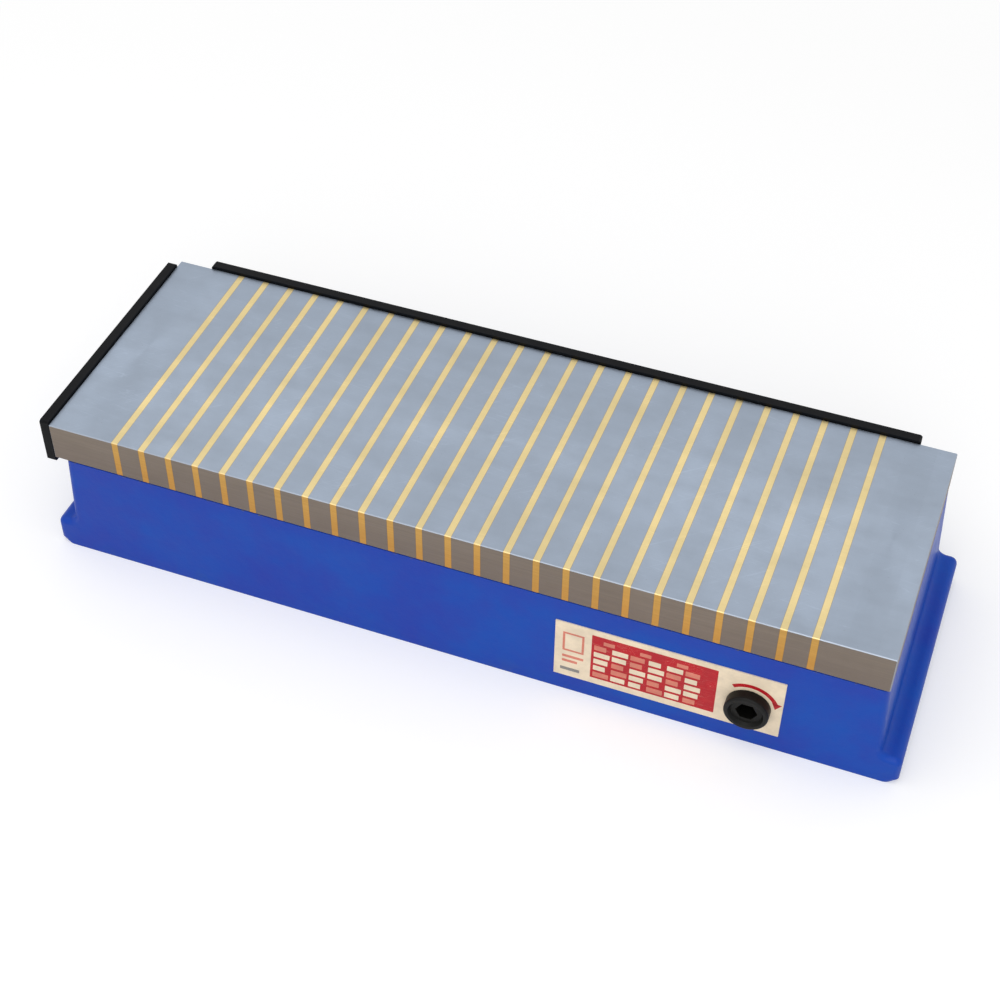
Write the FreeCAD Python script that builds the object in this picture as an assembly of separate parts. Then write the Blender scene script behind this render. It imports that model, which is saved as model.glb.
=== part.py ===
import FreeCAD, Part

# Permanent magnetic chuck with fine transverse poles, switched by half a turn of a hex key.
#
# A cast box carries a laminated top plate of steel poles and brass strips. Inside the box a pack of
# pole bars and magnets slides along X by half a pole pitch. In the ON place its bars stand under the
# steel poles, and in the OFF place they stand under the brass strips and short the poles together.
# Two keyed cams on a cross shaft push the pack through an inverted, U-shaped yoke.
#
# Frame, in millimetres: the origin is the middle of the resting face, +X runs along the chuck to the
# right, +Y to the back and +Z up. The model is drawn at rest: switched OFF, stops 1.8 mm proud.

import math
import os

Vector = FreeCAD.Vector

# ---- Driving dimensions -------------------------------------------------------------------------

# Top plate
PLATE_LENGTH = 450.0
PLATE_WIDTH = 150.0
PLATE_THICKNESS = 23.0
CHUCK_HEIGHT = 90.0           # resting face to working face
PLATE_OFFSET = -3.0           # middle of the plate, from the middle of the casting
POLE_PITCH = 15.5
BRASS_WIDTH = 3.6
END_BLOCK_MIN = 30.0          # least steel left outside the first and last brass strip's middle
PLATE_EDGE_BREAK = 0.4

# Base casting
FOOT_DRAFT = 3.0              # how much each end leans in between the ledge and the rim
LEDGE_REACH = 11.0            # clamping ledge, out from the foot of the end wall
LEDGE_THICKNESS = 18.0
LEDGE_CHAMFER = 3.0
LEDGE_NOSE_RADIUS = 4.0
LEDGE_ROOT_RADIUS = 5.0
END_EDGE_RADIUS = 3.5
FLOOR_THICKNESS = 13.0
SIDE_WALL = 16.0
CAVITY_CORNER_RADIUS = 5.0
GASKET_THICKNESS = 0.5
GASKET_INSET = 1.0

# Screws that pull the top plate down, from below
PLATE_SCREW = 6.0
PLATE_SCREW_HOLE = 6.6
PLATE_SCREW_HEAD = 10.0
PLATE_SCREW_HEAD_HEIGHT = 6.0
PLATE_SCREW_SOCKET = 5.0
PLATE_SCREW_COUNTERBORE = 11.0
PLATE_SCREW_SINK = 7.0        # depth of the counterbore
PLATE_SCREW_BITE = 12.0       # length in the plate's thread

# Drive shaft, along Y
SHAFT_DIAMETER = 16.0
SHAFT_FROM_PLATE_END = 65.0
SHAFT_RECESS = 2.0            # shaft end behind the collar's face
SHAFT_RUNNING_GAP = 0.05      # radial, in both bushes
SHAFT_END_GAP = 0.5
DRIVE_HEX = 10.0              # across flats
DRIVE_HEX_DEPTH = 10.0
BUSH_WALL = 2.5
REAR_BUSH_LENGTH = 11.0
COLLAR_WALL = 3.5
COLLAR_WIDTH = 6.0
COLLAR_GAP = 0.3              # between the collar and the nameplate
COLLAR_ROUND = 1.2
COLLAR_DISH_WIDTH = 1.2       # of the dished mouth round the shaft end
COLLAR_SCREW = 3.0
COLLAR_SCREW_SINK = 0.5       # outer end of the grub screw, below the collar's surface
SEAL_FROM_WALL = 9.0          # middle of the seal groove, behind the front face
SEAL_WIDTH = 2.6
SEAL_GROOVE_WIDTH = 3.2
SEAL_GROOVE_DEPTH = 1.6
SEAL_GAP = 0.05               # radial, to the front bush

# Stop disc and its pin, which leave the shaft half a turn
STOP_DISC_WIDTH = 6.0
STOP_DISC_WALL_GAP = 0.3
STOP_DISC_FLOOR_GAP = 1.3
STOP_PIN = 3.0
STOP_PIN_BUSH_WALL = 1.2      # casting left between the pin and the bush
STOP_PIN_HUB_GAP = 0.4
STOP_PIN_BITE = 8.0
STOP_PIN_END_GAP = 0.3        # left at each end of the turn
CROSS_PIN = 4.0

# Cams, keys and spacers
CAM_THIN_WALL = 2.0           # on the thin side of the shaft
CAM_WIDTH = 10.0
CAM_SPACING = 44.0            # middle to middle
CAM_SLOT_CLEARANCE = 1.2      # each side, in the yoke
KEY_WIDTH = 4.0
KEY_HEIGHT = 4.0
KEY_IN_SHAFT = 2.4
SPACER_WALL = 2.0

# Magnet pack
PACK_BAR = 8.5
PACK_END_PLATE = 6.0
PACK_END_CLEARANCE = 2.75     # to the end walls, at the ends of the travel
PACK_SIDE_CLEARANCE = 3.0     # to the bare side walls
PACK_AIR_GAP = 0.3            # below the top plate
PACK_BOTTOM_PLATE = 3.0
MAGNET_TOP_GAP = 0.5          # the bars are ground and stand this much above the magnets
TIE_BAR = 8.0
MAGNET_TIE_GAP = 1.0
TIE_SCREW = 5.0
TIE_SCREW_HEAD = 9.2
TIE_SCREW_LENGTH = 18.0
YOKE_END_GAP = 2.7            # to the stop disc
YOKE_ROOF = 6.0
YOKE_ROOF_CLEARANCE = 0.8     # above the cams at the top of their swing
YOKE_WALL_MIN = 8.0
YOKE_CORNER_RADIUS = 3.0
YOKE_SCREW = 5.0
YOKE_SCREW_HEAD = 8.5
YOKE_SCREW_HEAD_HEIGHT = 5.0
YOKE_SCREW_SOCKET = 4.0
YOKE_SCREW_INSET = 12.0       # from each end of the yoke
YOKE_SCREW_BITE = 6.5

# Wear strips
STRIP_WIDTH = 14.0
STRIP_THICKNESS = 3.0
STRIP_WALL_GAP = 2.0
STRIP_DRIVE_GAP = 3.0         # end of the floor strips, from the stop disc
SLIDE_GAP = 0.2
SIDE_STRIP_HEIGHT = 10.0
SIDE_STRIP_DISC_GAP = 0.3     # lower edge, above the stop disc

# Stops
STOP_THICKNESS = 5.0
STOP_HEIGHT = 28.0
STOP_PROUD = 1.8              # above the working face at rest
STOP_RAISE = 6.0
STOP_LOWER = 2.3
STOP_FACE_GAP = 0.1
STOP_CORNER_CHAMFER = 1.0
BACK_STOP_END_GAP = 19.5      # from each end of the plate
END_STOP_REAR_GAP = 5.0
END_STOP_SCREW_SPACING = 90.0
STOP_SCREW = 5.0
STOP_SCREW_SLOT_GAP = 0.3     # radial
STOP_SCREW_HEAD = 9.5
STOP_SCREW_HEAD_HEIGHT = 2.7
STOP_SCREW_SOCKET = 3.0
STOP_SCREW_SOCKET_DEPTH = 1.6
STOP_SCREW_BITE = 12.0

# Nameplate
NAMEPLATE_LENGTH = 119.0
NAMEPLATE_HEIGHT = 40.5
NAMEPLATE_THICKNESS = 0.6
NAMEPLATE_RIGHT_MARGIN = 17.0  # right edge, from the shaft's axis
NAMEPLATE_LOWER_MARGIN = 17.5  # lower edge, below the shaft's axis
NAMEPLATE_HOLE_GAP = 0.75

# ---- Places worked out from them ----------------------------------------------------------------

PLATE_LEFT = PLATE_OFFSET - PLATE_LENGTH / 2
PLATE_RIGHT = PLATE_OFFSET + PLATE_LENGTH / 2
PLATE_BOTTOM = CHUCK_HEIGHT - PLATE_THICKNESS
FRONT = -PLATE_WIDTH / 2
BACK = PLATE_WIDTH / 2
RIM = PLATE_BOTTOM - GASKET_THICKNESS

STRIPS_EACH_SIDE = int((PLATE_LENGTH / 2 - END_BLOCK_MIN) / POLE_PITCH)
STRIP_MIDDLES = [PLATE_OFFSET + k * POLE_PITCH for k in range(-STRIPS_EACH_SIDE, STRIPS_EACH_SIDE + 1)]
POLE_MIDDLES = [x + POLE_PITCH / 2 for x in STRIP_MIDDLES[:-1]]

FOOT_HALF = PLATE_LENGTH / 2
RIM_HALF = FOOT_HALF - FOOT_DRAFT
LEDGE_HALF = FOOT_HALF + LEDGE_REACH

ECCENTRICITY = POLE_PITCH / 4
PACK_TRAVEL = 2 * ECCENTRICITY
SHAFT_X = PLATE_RIGHT - SHAFT_FROM_PLATE_END

PACK_LEFT = POLE_MIDDLES[0] - PACK_BAR / 2 - PACK_END_PLATE
PACK_RIGHT = POLE_MIDDLES[-1] + PACK_BAR / 2 + PACK_END_PLATE
CAVITY_HALF = (PACK_RIGHT - PACK_LEFT) / 2 + PACK_TRAVEL + PACK_END_CLEARANCE
CAVITY_LEFT = PLATE_OFFSET - CAVITY_HALF
CAVITY_RIGHT = PLATE_OFFSET + CAVITY_HALF
CAVITY_FRONT = FRONT + SIDE_WALL
CAVITY_BACK = BACK - SIDE_WALL

PACK_HALF_WIDTH = CAVITY_BACK - PACK_SIDE_CLEARANCE
PACK_BOTTOM = FLOOR_THICKNESS + STRIP_THICKNESS + SLIDE_GAP
PACK_TOP = PLATE_BOTTOM - PACK_AIR_GAP
BAR_BOTTOM = PACK_BOTTOM + PACK_BOTTOM_PLATE
MAGNET_HALF_WIDTH = PACK_HALF_WIDTH - TIE_BAR - MAGNET_TIE_GAP

BUSH_DIAMETER = SHAFT_DIAMETER + 2 * BUSH_WALL
COLLAR_DIAMETER = SHAFT_DIAMETER + 2 * COLLAR_WALL
SPACER_DIAMETER = SHAFT_DIAMETER + 2 * SPACER_WALL
CAM_DIAMETER = SHAFT_DIAMETER + 2 * (ECCENTRICITY + CAM_THIN_WALL)
STOP_PIN_RADIUS = BUSH_DIAMETER / 2 + STOP_PIN_BUSH_WALL + STOP_PIN / 2
STOP_DISC_RADIUS = STOP_PIN_RADIUS + STOP_PIN / 2
STOP_DISC_HUB_RADIUS = STOP_PIN_RADIUS - STOP_PIN / 2 - STOP_PIN_HUB_GAP
SHAFT_Z = FLOOR_THICKNESS + STOP_DISC_FLOOR_GAP + STOP_DISC_RADIUS

SLOT_MIDDLE = SHAFT_X + ECCENTRICITY
SLOT_HALF = CAM_DIAMETER / 2 + CAM_SLOT_CLEARANCE
ROOF_UNDERSIDE = SHAFT_Z + ECCENTRICITY + CAM_DIAMETER / 2 + YOKE_ROOF_CLEARANCE
YOKE_TOP = ROOF_UNDERSIDE + YOKE_ROOF
TALL_POLES = [x for x in POLE_MIDDLES if x + PACK_BAR / 2 <= SLOT_MIDDLE - SLOT_HALF - YOKE_WALL_MIN]
SHORT_POLES = POLE_MIDDLES[len(TALL_POLES):]
YOKE_LEFT = TALL_POLES[-1] + PACK_BAR / 2
TIE_BAR_Z = (YOKE_TOP + PACK_TOP) / 2

COLLAR_BACK = FRONT - NAMEPLATE_THICKNESS - COLLAR_GAP
COLLAR_FRONT = COLLAR_BACK - COLLAR_WIDTH
SHAFT_FRONT = COLLAR_FRONT + SHAFT_RECESS
SHAFT_BACK = CAVITY_BACK + REAR_BUSH_LENGTH - SHAFT_END_GAP
STOP_DISC_FRONT = CAVITY_FRONT + STOP_DISC_WALL_GAP
STOP_DISC_BACK = STOP_DISC_FRONT + STOP_DISC_WIDTH
YOKE_HALF_LENGTH = -STOP_DISC_BACK - YOKE_END_GAP

STOP_TOP = CHUCK_HEIGHT + STOP_PROUD
STOP_BOTTOM = STOP_TOP - STOP_HEIGHT
STOP_SCREW_Z = CHUCK_HEIGHT - PLATE_THICKNESS / 2
END_STOP_BACK = BACK - END_STOP_REAR_GAP

RIGHTWARD = Vector(1, 0, 0)
BACKWARD = Vector(0, 1, 0)
UPWARD = Vector(0, 0, 1)


# ---- Small makers -------------------------------------------------------------------------------

def box(x0, x1, y0, y1, z0, z1):
    """A block between two corners."""
    return Part.makeBox(x1 - x0, y1 - y0, z1 - z0, Vector(x0, y0, z0))


def rod(start, direction, diameter, length):
    """A round bar from start along direction."""
    return Part.makeCylinder(diameter / 2, length, start, direction)


def tube(start, direction, outer, inner, length):
    """A round tube from start along direction."""
    return rod(start, direction, outer, length).cut(rod(start, direction, inner, length))


def prism(points, sweep):
    """A flat outline of corner points, swept by a vector."""
    return Part.Face(Part.makePolygon(points + points[:1])).extrude(sweep)


def hex_prism(across_flats, height):
    """A hexagonal bar standing on the XY plane."""
    radius = across_flats / math.sqrt(3)
    corners = [
        Vector(radius * math.cos(math.radians(60 * i)), radius * math.sin(math.radians(60 * i)), 0)
        for i in range(6)
    ]
    return prism(corners, Vector(0, 0, height))


def aimed(shape, start, direction):
    """Turn a shape drawn along +Z so that it runs from start along direction."""
    shape.Placement = FreeCAD.Placement(start, FreeCAD.Rotation(UPWARD, direction))
    return shape


def rounded(shape, radius, chosen):
    """Fillet the edges for which chosen(edge) is true."""
    return shape.makeFillet(radius, [edge for edge in shape.Edges if chosen(edge)])


def runs_along(edge, axis):
    """Whether a straight edge runs along an axis."""
    if not isinstance(edge.Curve, Part.Line):
        return False
    span = edge.Vertexes[-1].Point - edge.Vertexes[0].Point
    return span.cross(axis).Length < 1e-6 * max(span.Length, 1.0)


def capped_rod(start, direction, thread, length, head, head_height):
    """The room that a cap screw takes up, with its seat at start and its thread along direction."""
    return rod(start, direction, thread, length).fuse(rod(start, -direction, head, head_height))


def cap_screw(start, direction, thread, length, head, head_height, socket):
    """Socket cap screw, with its seat at start and its thread along direction."""
    key = aimed(hex_prism(socket, head_height / 2), start - direction * head_height, direction)
    return capped_rod(start, direction, thread, length, head, head_height).cut(key).removeSplitter()


def flat_screw(start, direction, thread, length, head):
    """Countersunk screw, flush at start, with its thread along direction."""
    sink = (head - thread) / 2
    cone = Part.makeCone(head / 2, thread / 2, sink)
    body = Part.makeCylinder(thread / 2, length - sink, Vector(0, 0, sink))
    return aimed(cone.fuse(body).removeSplitter(), start, direction)


def button_screw(start, direction, thread, length, head, head_height, socket, socket_depth):
    """Button-head screw, with its seat at start and its thread along direction."""
    rim = head_height * 0.2
    crown = head * 0.26
    shoulder = Vector(head / 2, 0, -rim)
    middle = Vector(head * 0.425, 0, -head_height * 0.72)
    outline = Part.Wire([
        Part.makeLine(Vector(0, 0, 0), Vector(head / 2, 0, 0)),
        Part.makeLine(Vector(head / 2, 0, 0), shoulder),
        Part.Arc(shoulder, middle, Vector(crown, 0, -head_height)).toShape(),
        Part.makeLine(Vector(crown, 0, -head_height), Vector(0, 0, -head_height)),
        Part.makeLine(Vector(0, 0, -head_height), Vector(0, 0, 0)),
    ])
    dome = Part.Face(outline).revolve(Vector(0, 0, 0), UPWARD, 360)
    key = hex_prism(socket, socket_depth)
    key.translate(Vector(0, 0, -head_height))
    body = Part.makeCylinder(thread / 2, length)
    return aimed(dome.fuse(body).cut(key).removeSplitter(), start, direction)


# ---- Places of the fasteners --------------------------------------------------------------------

def plate_screw_places():
    """Middles of the eight screws under the top plate, in the walls of the casting."""
    poles_out = int(len(POLE_MIDDLES) / 5) + 0.5
    columns = [
        (CAVITY_LEFT - RIM_HALF) / 2,
        PLATE_OFFSET - poles_out * POLE_PITCH,
        PLATE_OFFSET + poles_out * POLE_PITCH,
        (CAVITY_RIGHT + RIM_HALF) / 2,
    ]
    rows = [(FRONT + CAVITY_FRONT) / 2, (BACK + CAVITY_BACK) / 2]
    return [(x, y) for x in columns for y in rows]


def back_stop_screw_places():
    """X of the back stop's screws, each in the middle of a steel pole."""
    outer = len(POLE_MIDDLES) / 2 - 1.5
    inner = int(len(POLE_MIDDLES) / 7) + 0.5
    return [PLATE_OFFSET + k * POLE_PITCH for k in (-outer, -inner, inner, outer)]


def end_stop_screw_places():
    """Y of the end stop's screws."""
    return [-END_STOP_SCREW_SPACING / 2, END_STOP_SCREW_SPACING / 2]


def tapped_holes():
    """Everything that is drilled into the top plate."""
    holes = [rod(Vector(x, y, PLATE_BOTTOM), UPWARD, PLATE_SCREW, PLATE_SCREW_BITE)
             for x, y in plate_screw_places()]
    holes += [rod(Vector(x, BACK, STOP_SCREW_Z), -BACKWARD, STOP_SCREW, STOP_SCREW_BITE)
              for x in back_stop_screw_places()]
    holes += [rod(Vector(PLATE_LEFT, y, STOP_SCREW_Z), RIGHTWARD, STOP_SCREW, STOP_SCREW_BITE)
              for y in end_stop_screw_places()]
    return holes


# ---- Top plate ----------------------------------------------------------------------------------

def lamination(x0, x1):
    """A slice of the top plate, with its long edges broken."""
    c = PLATE_EDGE_BREAK
    section = [
        Vector(x0, FRONT + c, PLATE_BOTTOM), Vector(x0, BACK - c, PLATE_BOTTOM),
        Vector(x0, BACK, PLATE_BOTTOM + c), Vector(x0, BACK, CHUCK_HEIGHT - c),
        Vector(x0, BACK - c, CHUCK_HEIGHT), Vector(x0, FRONT + c, CHUCK_HEIGHT),
        Vector(x0, FRONT, CHUCK_HEIGHT - c), Vector(x0, FRONT, PLATE_BOTTOM + c),
    ]
    return prism(section, Vector(x1 - x0, 0, 0))


def drilled(slice_, holes):
    """Cut the holes that reach into a slice."""
    reach = slice_.BoundBox
    hits = [hole for hole in holes if reach.intersect(hole.BoundBox)]
    return slice_.cut(hits) if hits else slice_


def end_block(x0, x1, outer_x):
    """A wide steel end block, with the edges of its outer end broken too."""
    block = lamination(x0, x1)
    outer_edges = [edge for edge in block.Edges
                   if all(abs(v.X - outer_x) < 1e-6 for v in edge.Vertexes)]
    return drilled(block.makeChamfer(PLATE_EDGE_BREAK, outer_edges), tapped_holes())


def left_end_block():
    return end_block(PLATE_LEFT, STRIP_MIDDLES[0] - BRASS_WIDTH / 2, PLATE_LEFT)


def right_end_block():
    return end_block(STRIP_MIDDLES[-1] + BRASS_WIDTH / 2, PLATE_RIGHT, PLATE_RIGHT)


def pole_bars():
    holes = tapped_holes()
    half = (POLE_PITCH - BRASS_WIDTH) / 2
    return Part.makeCompound([drilled(lamination(x - half, x + half), holes) for x in POLE_MIDDLES])


def brass_strips():
    half = BRASS_WIDTH / 2
    return Part.makeCompound([lamination(x - half, x + half) for x in STRIP_MIDDLES])


def plate_gasket():
    inset = GASKET_INSET
    sheet = box(inset - RIM_HALF, RIM_HALF - inset, FRONT + inset, BACK - inset, RIM, PLATE_BOTTOM)
    holes = [rod(Vector(x, y, RIM), UPWARD, PLATE_SCREW_HOLE, GASKET_THICKNESS)
             for x, y in plate_screw_places()]
    return sheet.cut([cavity(PLATE_BOTTOM)] + holes)


def plate_screws():
    seat = PLATE_SCREW_SINK
    length = PLATE_BOTTOM + PLATE_SCREW_BITE - seat
    return Part.makeCompound([
        cap_screw(Vector(x, y, seat), UPWARD, PLATE_SCREW, length,
                  PLATE_SCREW_HEAD, PLATE_SCREW_HEAD_HEIGHT, PLATE_SCREW_SOCKET)
        for x, y in plate_screw_places()
    ])


# ---- Base casting -------------------------------------------------------------------------------

def cavity(top):
    """The room for the magnet pack, from the floor up to top."""
    room = box(CAVITY_LEFT, CAVITY_RIGHT, CAVITY_FRONT, CAVITY_BACK, FLOOR_THICKNESS, top)
    return rounded(room, CAVITY_CORNER_RADIUS, lambda edge: runs_along(edge, UPWARD))


def casting_outline():
    """Side view of the casting: ledges at the feet, end walls that lean in to the rim."""
    right = [
        Vector(LEDGE_HALF - LEDGE_CHAMFER, FRONT, 0),
        Vector(LEDGE_HALF, FRONT, LEDGE_CHAMFER),
        Vector(LEDGE_HALF, FRONT, LEDGE_THICKNESS),
        Vector(FOOT_HALF, FRONT, LEDGE_THICKNESS),
        Vector(RIM_HALF, FRONT, RIM),
    ]
    left = [Vector(-point.x, point.y, point.z) for point in reversed(right)]
    return right + left


def casting_blank():
    """The casting before it is cored and drilled."""
    blank = prism(casting_outline(), Vector(0, PLATE_WIDTH, 0))

    def crosswise_at(edge, half_length):
        middle = edge.CenterOfMass
        level = abs(middle.z - LEDGE_THICKNESS) < 1e-6
        return runs_along(edge, BACKWARD) and level and abs(abs(middle.x) - half_length) < 1e-6

    blank = rounded(blank, LEDGE_ROOT_RADIUS, lambda edge: crosswise_at(edge, FOOT_HALF))
    blank = rounded(blank, LEDGE_NOSE_RADIUS, lambda edge: crosswise_at(edge, LEDGE_HALF))

    def on_end_outline(edge):
        on_face = all(abs(abs(v.Y) - BACK) < 1e-6 for v in edge.Vertexes)
        at_end = abs(edge.CenterOfMass.x) > RIM_HALF - FOOT_DRAFT
        level = runs_along(edge, RIGHTWARD) and edge.CenterOfMass.z < 1e-6
        return on_face and at_end and not level and not runs_along(edge, BACKWARD)

    return rounded(blank, END_EDGE_RADIUS, on_end_outline)


def base_casting():
    cuts = [cavity(RIM + 1)]
    for x, y in plate_screw_places():
        cuts.append(rod(Vector(x, y, 0), UPWARD, PLATE_SCREW_HOLE, RIM))
        cuts.append(rod(Vector(x, y, 0), UPWARD, PLATE_SCREW_COUNTERBORE, PLATE_SCREW_SINK))
    cuts.append(rod(Vector(SHAFT_X, FRONT, SHAFT_Z), BACKWARD, BUSH_DIAMETER, SIDE_WALL))
    cuts.append(rod(Vector(SHAFT_X, CAVITY_BACK, SHAFT_Z), BACKWARD, BUSH_DIAMETER, REAR_BUSH_LENGTH))
    cuts.append(stop_pin())
    return casting_blank().cut(cuts)


# ---- Wear strips --------------------------------------------------------------------------------

def floor_strip_span():
    """Ends of the floor strips, clear of the cavity's round corners and of the stop disc."""
    return CAVITY_LEFT + CAVITY_CORNER_RADIUS, SHAFT_X - STOP_DISC_RADIUS - STRIP_DRIVE_GAP


def side_strip_span():
    """Ends of the side strips, clear of the cavity's round corners."""
    return CAVITY_LEFT + CAVITY_CORNER_RADIUS, CAVITY_RIGHT - CAVITY_CORNER_RADIUS


def floor_wear_strips():
    """Two strips bonded to the floor, on which the pack's bottom slides."""
    x0, x1 = floor_strip_span()
    outer = CAVITY_BACK - STRIP_WALL_GAP
    inner = outer - STRIP_WIDTH
    top = FLOOR_THICKNESS + STRIP_THICKNESS
    return Part.makeCompound([
        box(x0, x1, -outer, -inner, FLOOR_THICKNESS, top),
        box(x0, x1, inner, outer, FLOOR_THICKNESS, top),
    ])


def side_wear_strips():
    """Two strips bonded to the side walls, which guide the pack's ends."""
    x0, x1 = side_strip_span()
    z0 = SHAFT_Z + STOP_DISC_RADIUS + SIDE_STRIP_DISC_GAP
    z1 = z0 + SIDE_STRIP_HEIGHT
    near = PACK_HALF_WIDTH + SLIDE_GAP
    return Part.makeCompound([
        box(x0, x1, CAVITY_FRONT, -near, z0, z1),
        box(x0, x1, near, CAVITY_BACK, z0, z1),
    ])


# ---- Drive shaft --------------------------------------------------------------------------------

def front_bush():
    bore = SHAFT_DIAMETER + 2 * SHAFT_RUNNING_GAP
    return tube(Vector(SHAFT_X, FRONT, SHAFT_Z), BACKWARD, BUSH_DIAMETER, bore, SIDE_WALL)


def rear_bush():
    bore = SHAFT_DIAMETER + 2 * SHAFT_RUNNING_GAP
    start = Vector(SHAFT_X, CAVITY_BACK, SHAFT_Z)
    return tube(start, BACKWARD, BUSH_DIAMETER, bore, REAR_BUSH_LENGTH)


def cam_middles():
    """Y of the middles of the two cams."""
    return [-CAM_SPACING / 2, CAM_SPACING / 2]


def cam_key(y):
    """A key on the thick side of a cam, half in the shaft."""
    outer = SHAFT_X - SHAFT_DIAMETER / 2 + KEY_IN_SHAFT
    return box(outer - KEY_HEIGHT, outer, y - CAM_WIDTH / 2, y + CAM_WIDTH / 2,
               SHAFT_Z - KEY_WIDTH / 2, SHAFT_Z + KEY_WIDTH / 2)


def cam_keys():
    return Part.makeCompound([cam_key(y) for y in cam_middles()])


def eccentric_cams():
    cams = []
    for y in cam_middles():
        start = Vector(SHAFT_X - ECCENTRICITY, y - CAM_WIDTH / 2, SHAFT_Z)
        bore = rod(Vector(SHAFT_X, y - CAM_WIDTH / 2, SHAFT_Z), BACKWARD, SHAFT_DIAMETER, CAM_WIDTH)
        cams.append(rod(start, BACKWARD, CAM_DIAMETER, CAM_WIDTH).cut([bore, cam_key(y)]))
    return Part.makeCompound(cams)


def seal_groove():
    """Ring-shaped room for the seal in the shaft."""
    start = Vector(SHAFT_X, FRONT + SEAL_FROM_WALL - SEAL_GROOVE_WIDTH / 2, SHAFT_Z)
    bottom = SHAFT_DIAMETER - 2 * SEAL_GROOVE_DEPTH
    return tube(start, BACKWARD, SHAFT_DIAMETER + 1, bottom, SEAL_GROOVE_WIDTH)


def shaft_seal():
    """Seal ring as it sits, squeezed flat between the groove and the bush."""
    start = Vector(SHAFT_X, FRONT + SEAL_FROM_WALL - SEAL_WIDTH / 2, SHAFT_Z)
    outer = SHAFT_DIAMETER + 2 * SHAFT_RUNNING_GAP - 2 * SEAL_GAP
    return tube(start, BACKWARD, outer, SHAFT_DIAMETER - 2 * SEAL_GROOVE_DEPTH, SEAL_WIDTH)


def cross_pin():
    """Pin that holds the stop disc on the shaft."""
    left = SHAFT_X - STOP_DISC_RADIUS + 1
    y = (STOP_DISC_FRONT + STOP_DISC_BACK) / 2
    length = SHAFT_X + STOP_DISC_HUB_RADIUS - 1 - left
    return rod(Vector(left, y, SHAFT_Z), RIGHTWARD, CROSS_PIN, length)


def eccentric_shaft():
    """Straight shaft, with the hex socket in front, the seal groove, two keyways and a cross hole."""
    shaft = rod(Vector(SHAFT_X, SHAFT_FRONT, SHAFT_Z), BACKWARD, SHAFT_DIAMETER, SHAFT_BACK - SHAFT_FRONT)
    socket = aimed(hex_prism(DRIVE_HEX, DRIVE_HEX_DEPTH), Vector(SHAFT_X, SHAFT_FRONT, SHAFT_Z), BACKWARD)
    return shaft.cut([socket, seal_groove(), cross_pin()] + [cam_key(y) for y in cam_middles()])


def collar_screw_place():
    """Where the line of the collar's grub screw crosses the shaft's axis."""
    return Vector(SHAFT_X, (SHAFT_FRONT + COLLAR_BACK) / 2, SHAFT_Z)


def collar_grub_screw():
    start = collar_screw_place() - UPWARD * (SHAFT_DIAMETER / 2)
    return rod(start, -UPWARD, COLLAR_SCREW, COLLAR_WALL - COLLAR_SCREW_SINK)


def drive_collar():
    """Round collar, with a rounded front edge and a dished mouth round the shaft end."""
    start = Vector(SHAFT_X, COLLAR_FRONT, SHAFT_Z)
    blank = rod(start, BACKWARD, COLLAR_DIAMETER, COLLAR_WIDTH)
    blank = rounded(blank, COLLAR_ROUND, lambda edge: isinstance(edge.Curve, Part.Circle)
                    and abs(edge.Curve.Center.y - COLLAR_FRONT) < 1e-6)
    bore = rod(start, BACKWARD, SHAFT_DIAMETER, COLLAR_WIDTH)
    mouth = Part.makeCone(SHAFT_DIAMETER / 2 + COLLAR_DISH_WIDTH, SHAFT_DIAMETER / 2, SHAFT_RECESS,
                          start, BACKWARD)
    tapped = rod(collar_screw_place(), -UPWARD, COLLAR_SCREW, COLLAR_DIAMETER)
    return blank.cut([bore, mouth, tapped])


def stop_angles():
    """Ends of the stop disc's full-width sector at rest, in degrees from +X towards +Z."""
    pin = math.degrees(math.asin(STOP_PIN / 2 / STOP_PIN_RADIUS))
    gap = math.degrees(STOP_PIN_END_GAP / STOP_PIN_RADIUS)
    return 90 + pin + gap, 270 - pin - gap


def stop_disc():
    """Disc whose wide sector meets the stop pin at either end of half a turn."""
    first, last = stop_angles()

    def at(radius, angle):
        turn = math.radians(angle)
        return Vector(SHAFT_X + radius * math.cos(turn), STOP_DISC_FRONT, SHAFT_Z + radius * math.sin(turn))

    outer = STOP_DISC_RADIUS
    hub = STOP_DISC_HUB_RADIUS
    outline = Part.Wire([
        Part.makeLine(at(hub, first), at(outer, first)),
        Part.Arc(at(outer, first), at(outer, (first + last) / 2), at(outer, last)).toShape(),
        Part.makeLine(at(outer, last), at(hub, last)),
        Part.Arc(at(hub, last), at(hub, 0), at(hub, first)).toShape(),
    ])
    disc = Part.Face(outline).extrude(Vector(0, STOP_DISC_WIDTH, 0))
    bore = rod(Vector(SHAFT_X, STOP_DISC_FRONT, SHAFT_Z), BACKWARD, SHAFT_DIAMETER, STOP_DISC_WIDTH)
    return disc.cut([bore, cross_pin()])


def stop_pin():
    """Pin in the front wall, straight below the shaft."""
    start = Vector(SHAFT_X, CAVITY_FRONT - STOP_PIN_BITE, SHAFT_Z - STOP_PIN_RADIUS)
    length = STOP_DISC_BACK - (CAVITY_FRONT - STOP_PIN_BITE)
    return rod(start, BACKWARD, STOP_PIN, length)


def shaft_spacers():
    """Tubes that keep the stop disc, the cams and the rear bush apart."""
    near, far = cam_middles()
    spans = [
        (STOP_DISC_BACK, near - CAM_WIDTH / 2),
        (near + CAM_WIDTH / 2, far - CAM_WIDTH / 2),
        (far + CAM_WIDTH / 2, CAVITY_BACK - SHAFT_END_GAP),
    ]
    return Part.makeCompound([
        tube(Vector(SHAFT_X, y0, SHAFT_Z), BACKWARD, SPACER_DIAMETER, SHAFT_DIAMETER, y1 - y0)
        for y0, y1 in spans
    ])


# ---- Magnet pack, drawn in the ON place ---------------------------------------------------------

def at_rest(shape):
    """Move a piece of the pack from the ON place to the OFF place."""
    shape.translate(Vector(-PACK_TRAVEL, 0, 0))
    return shape


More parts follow.
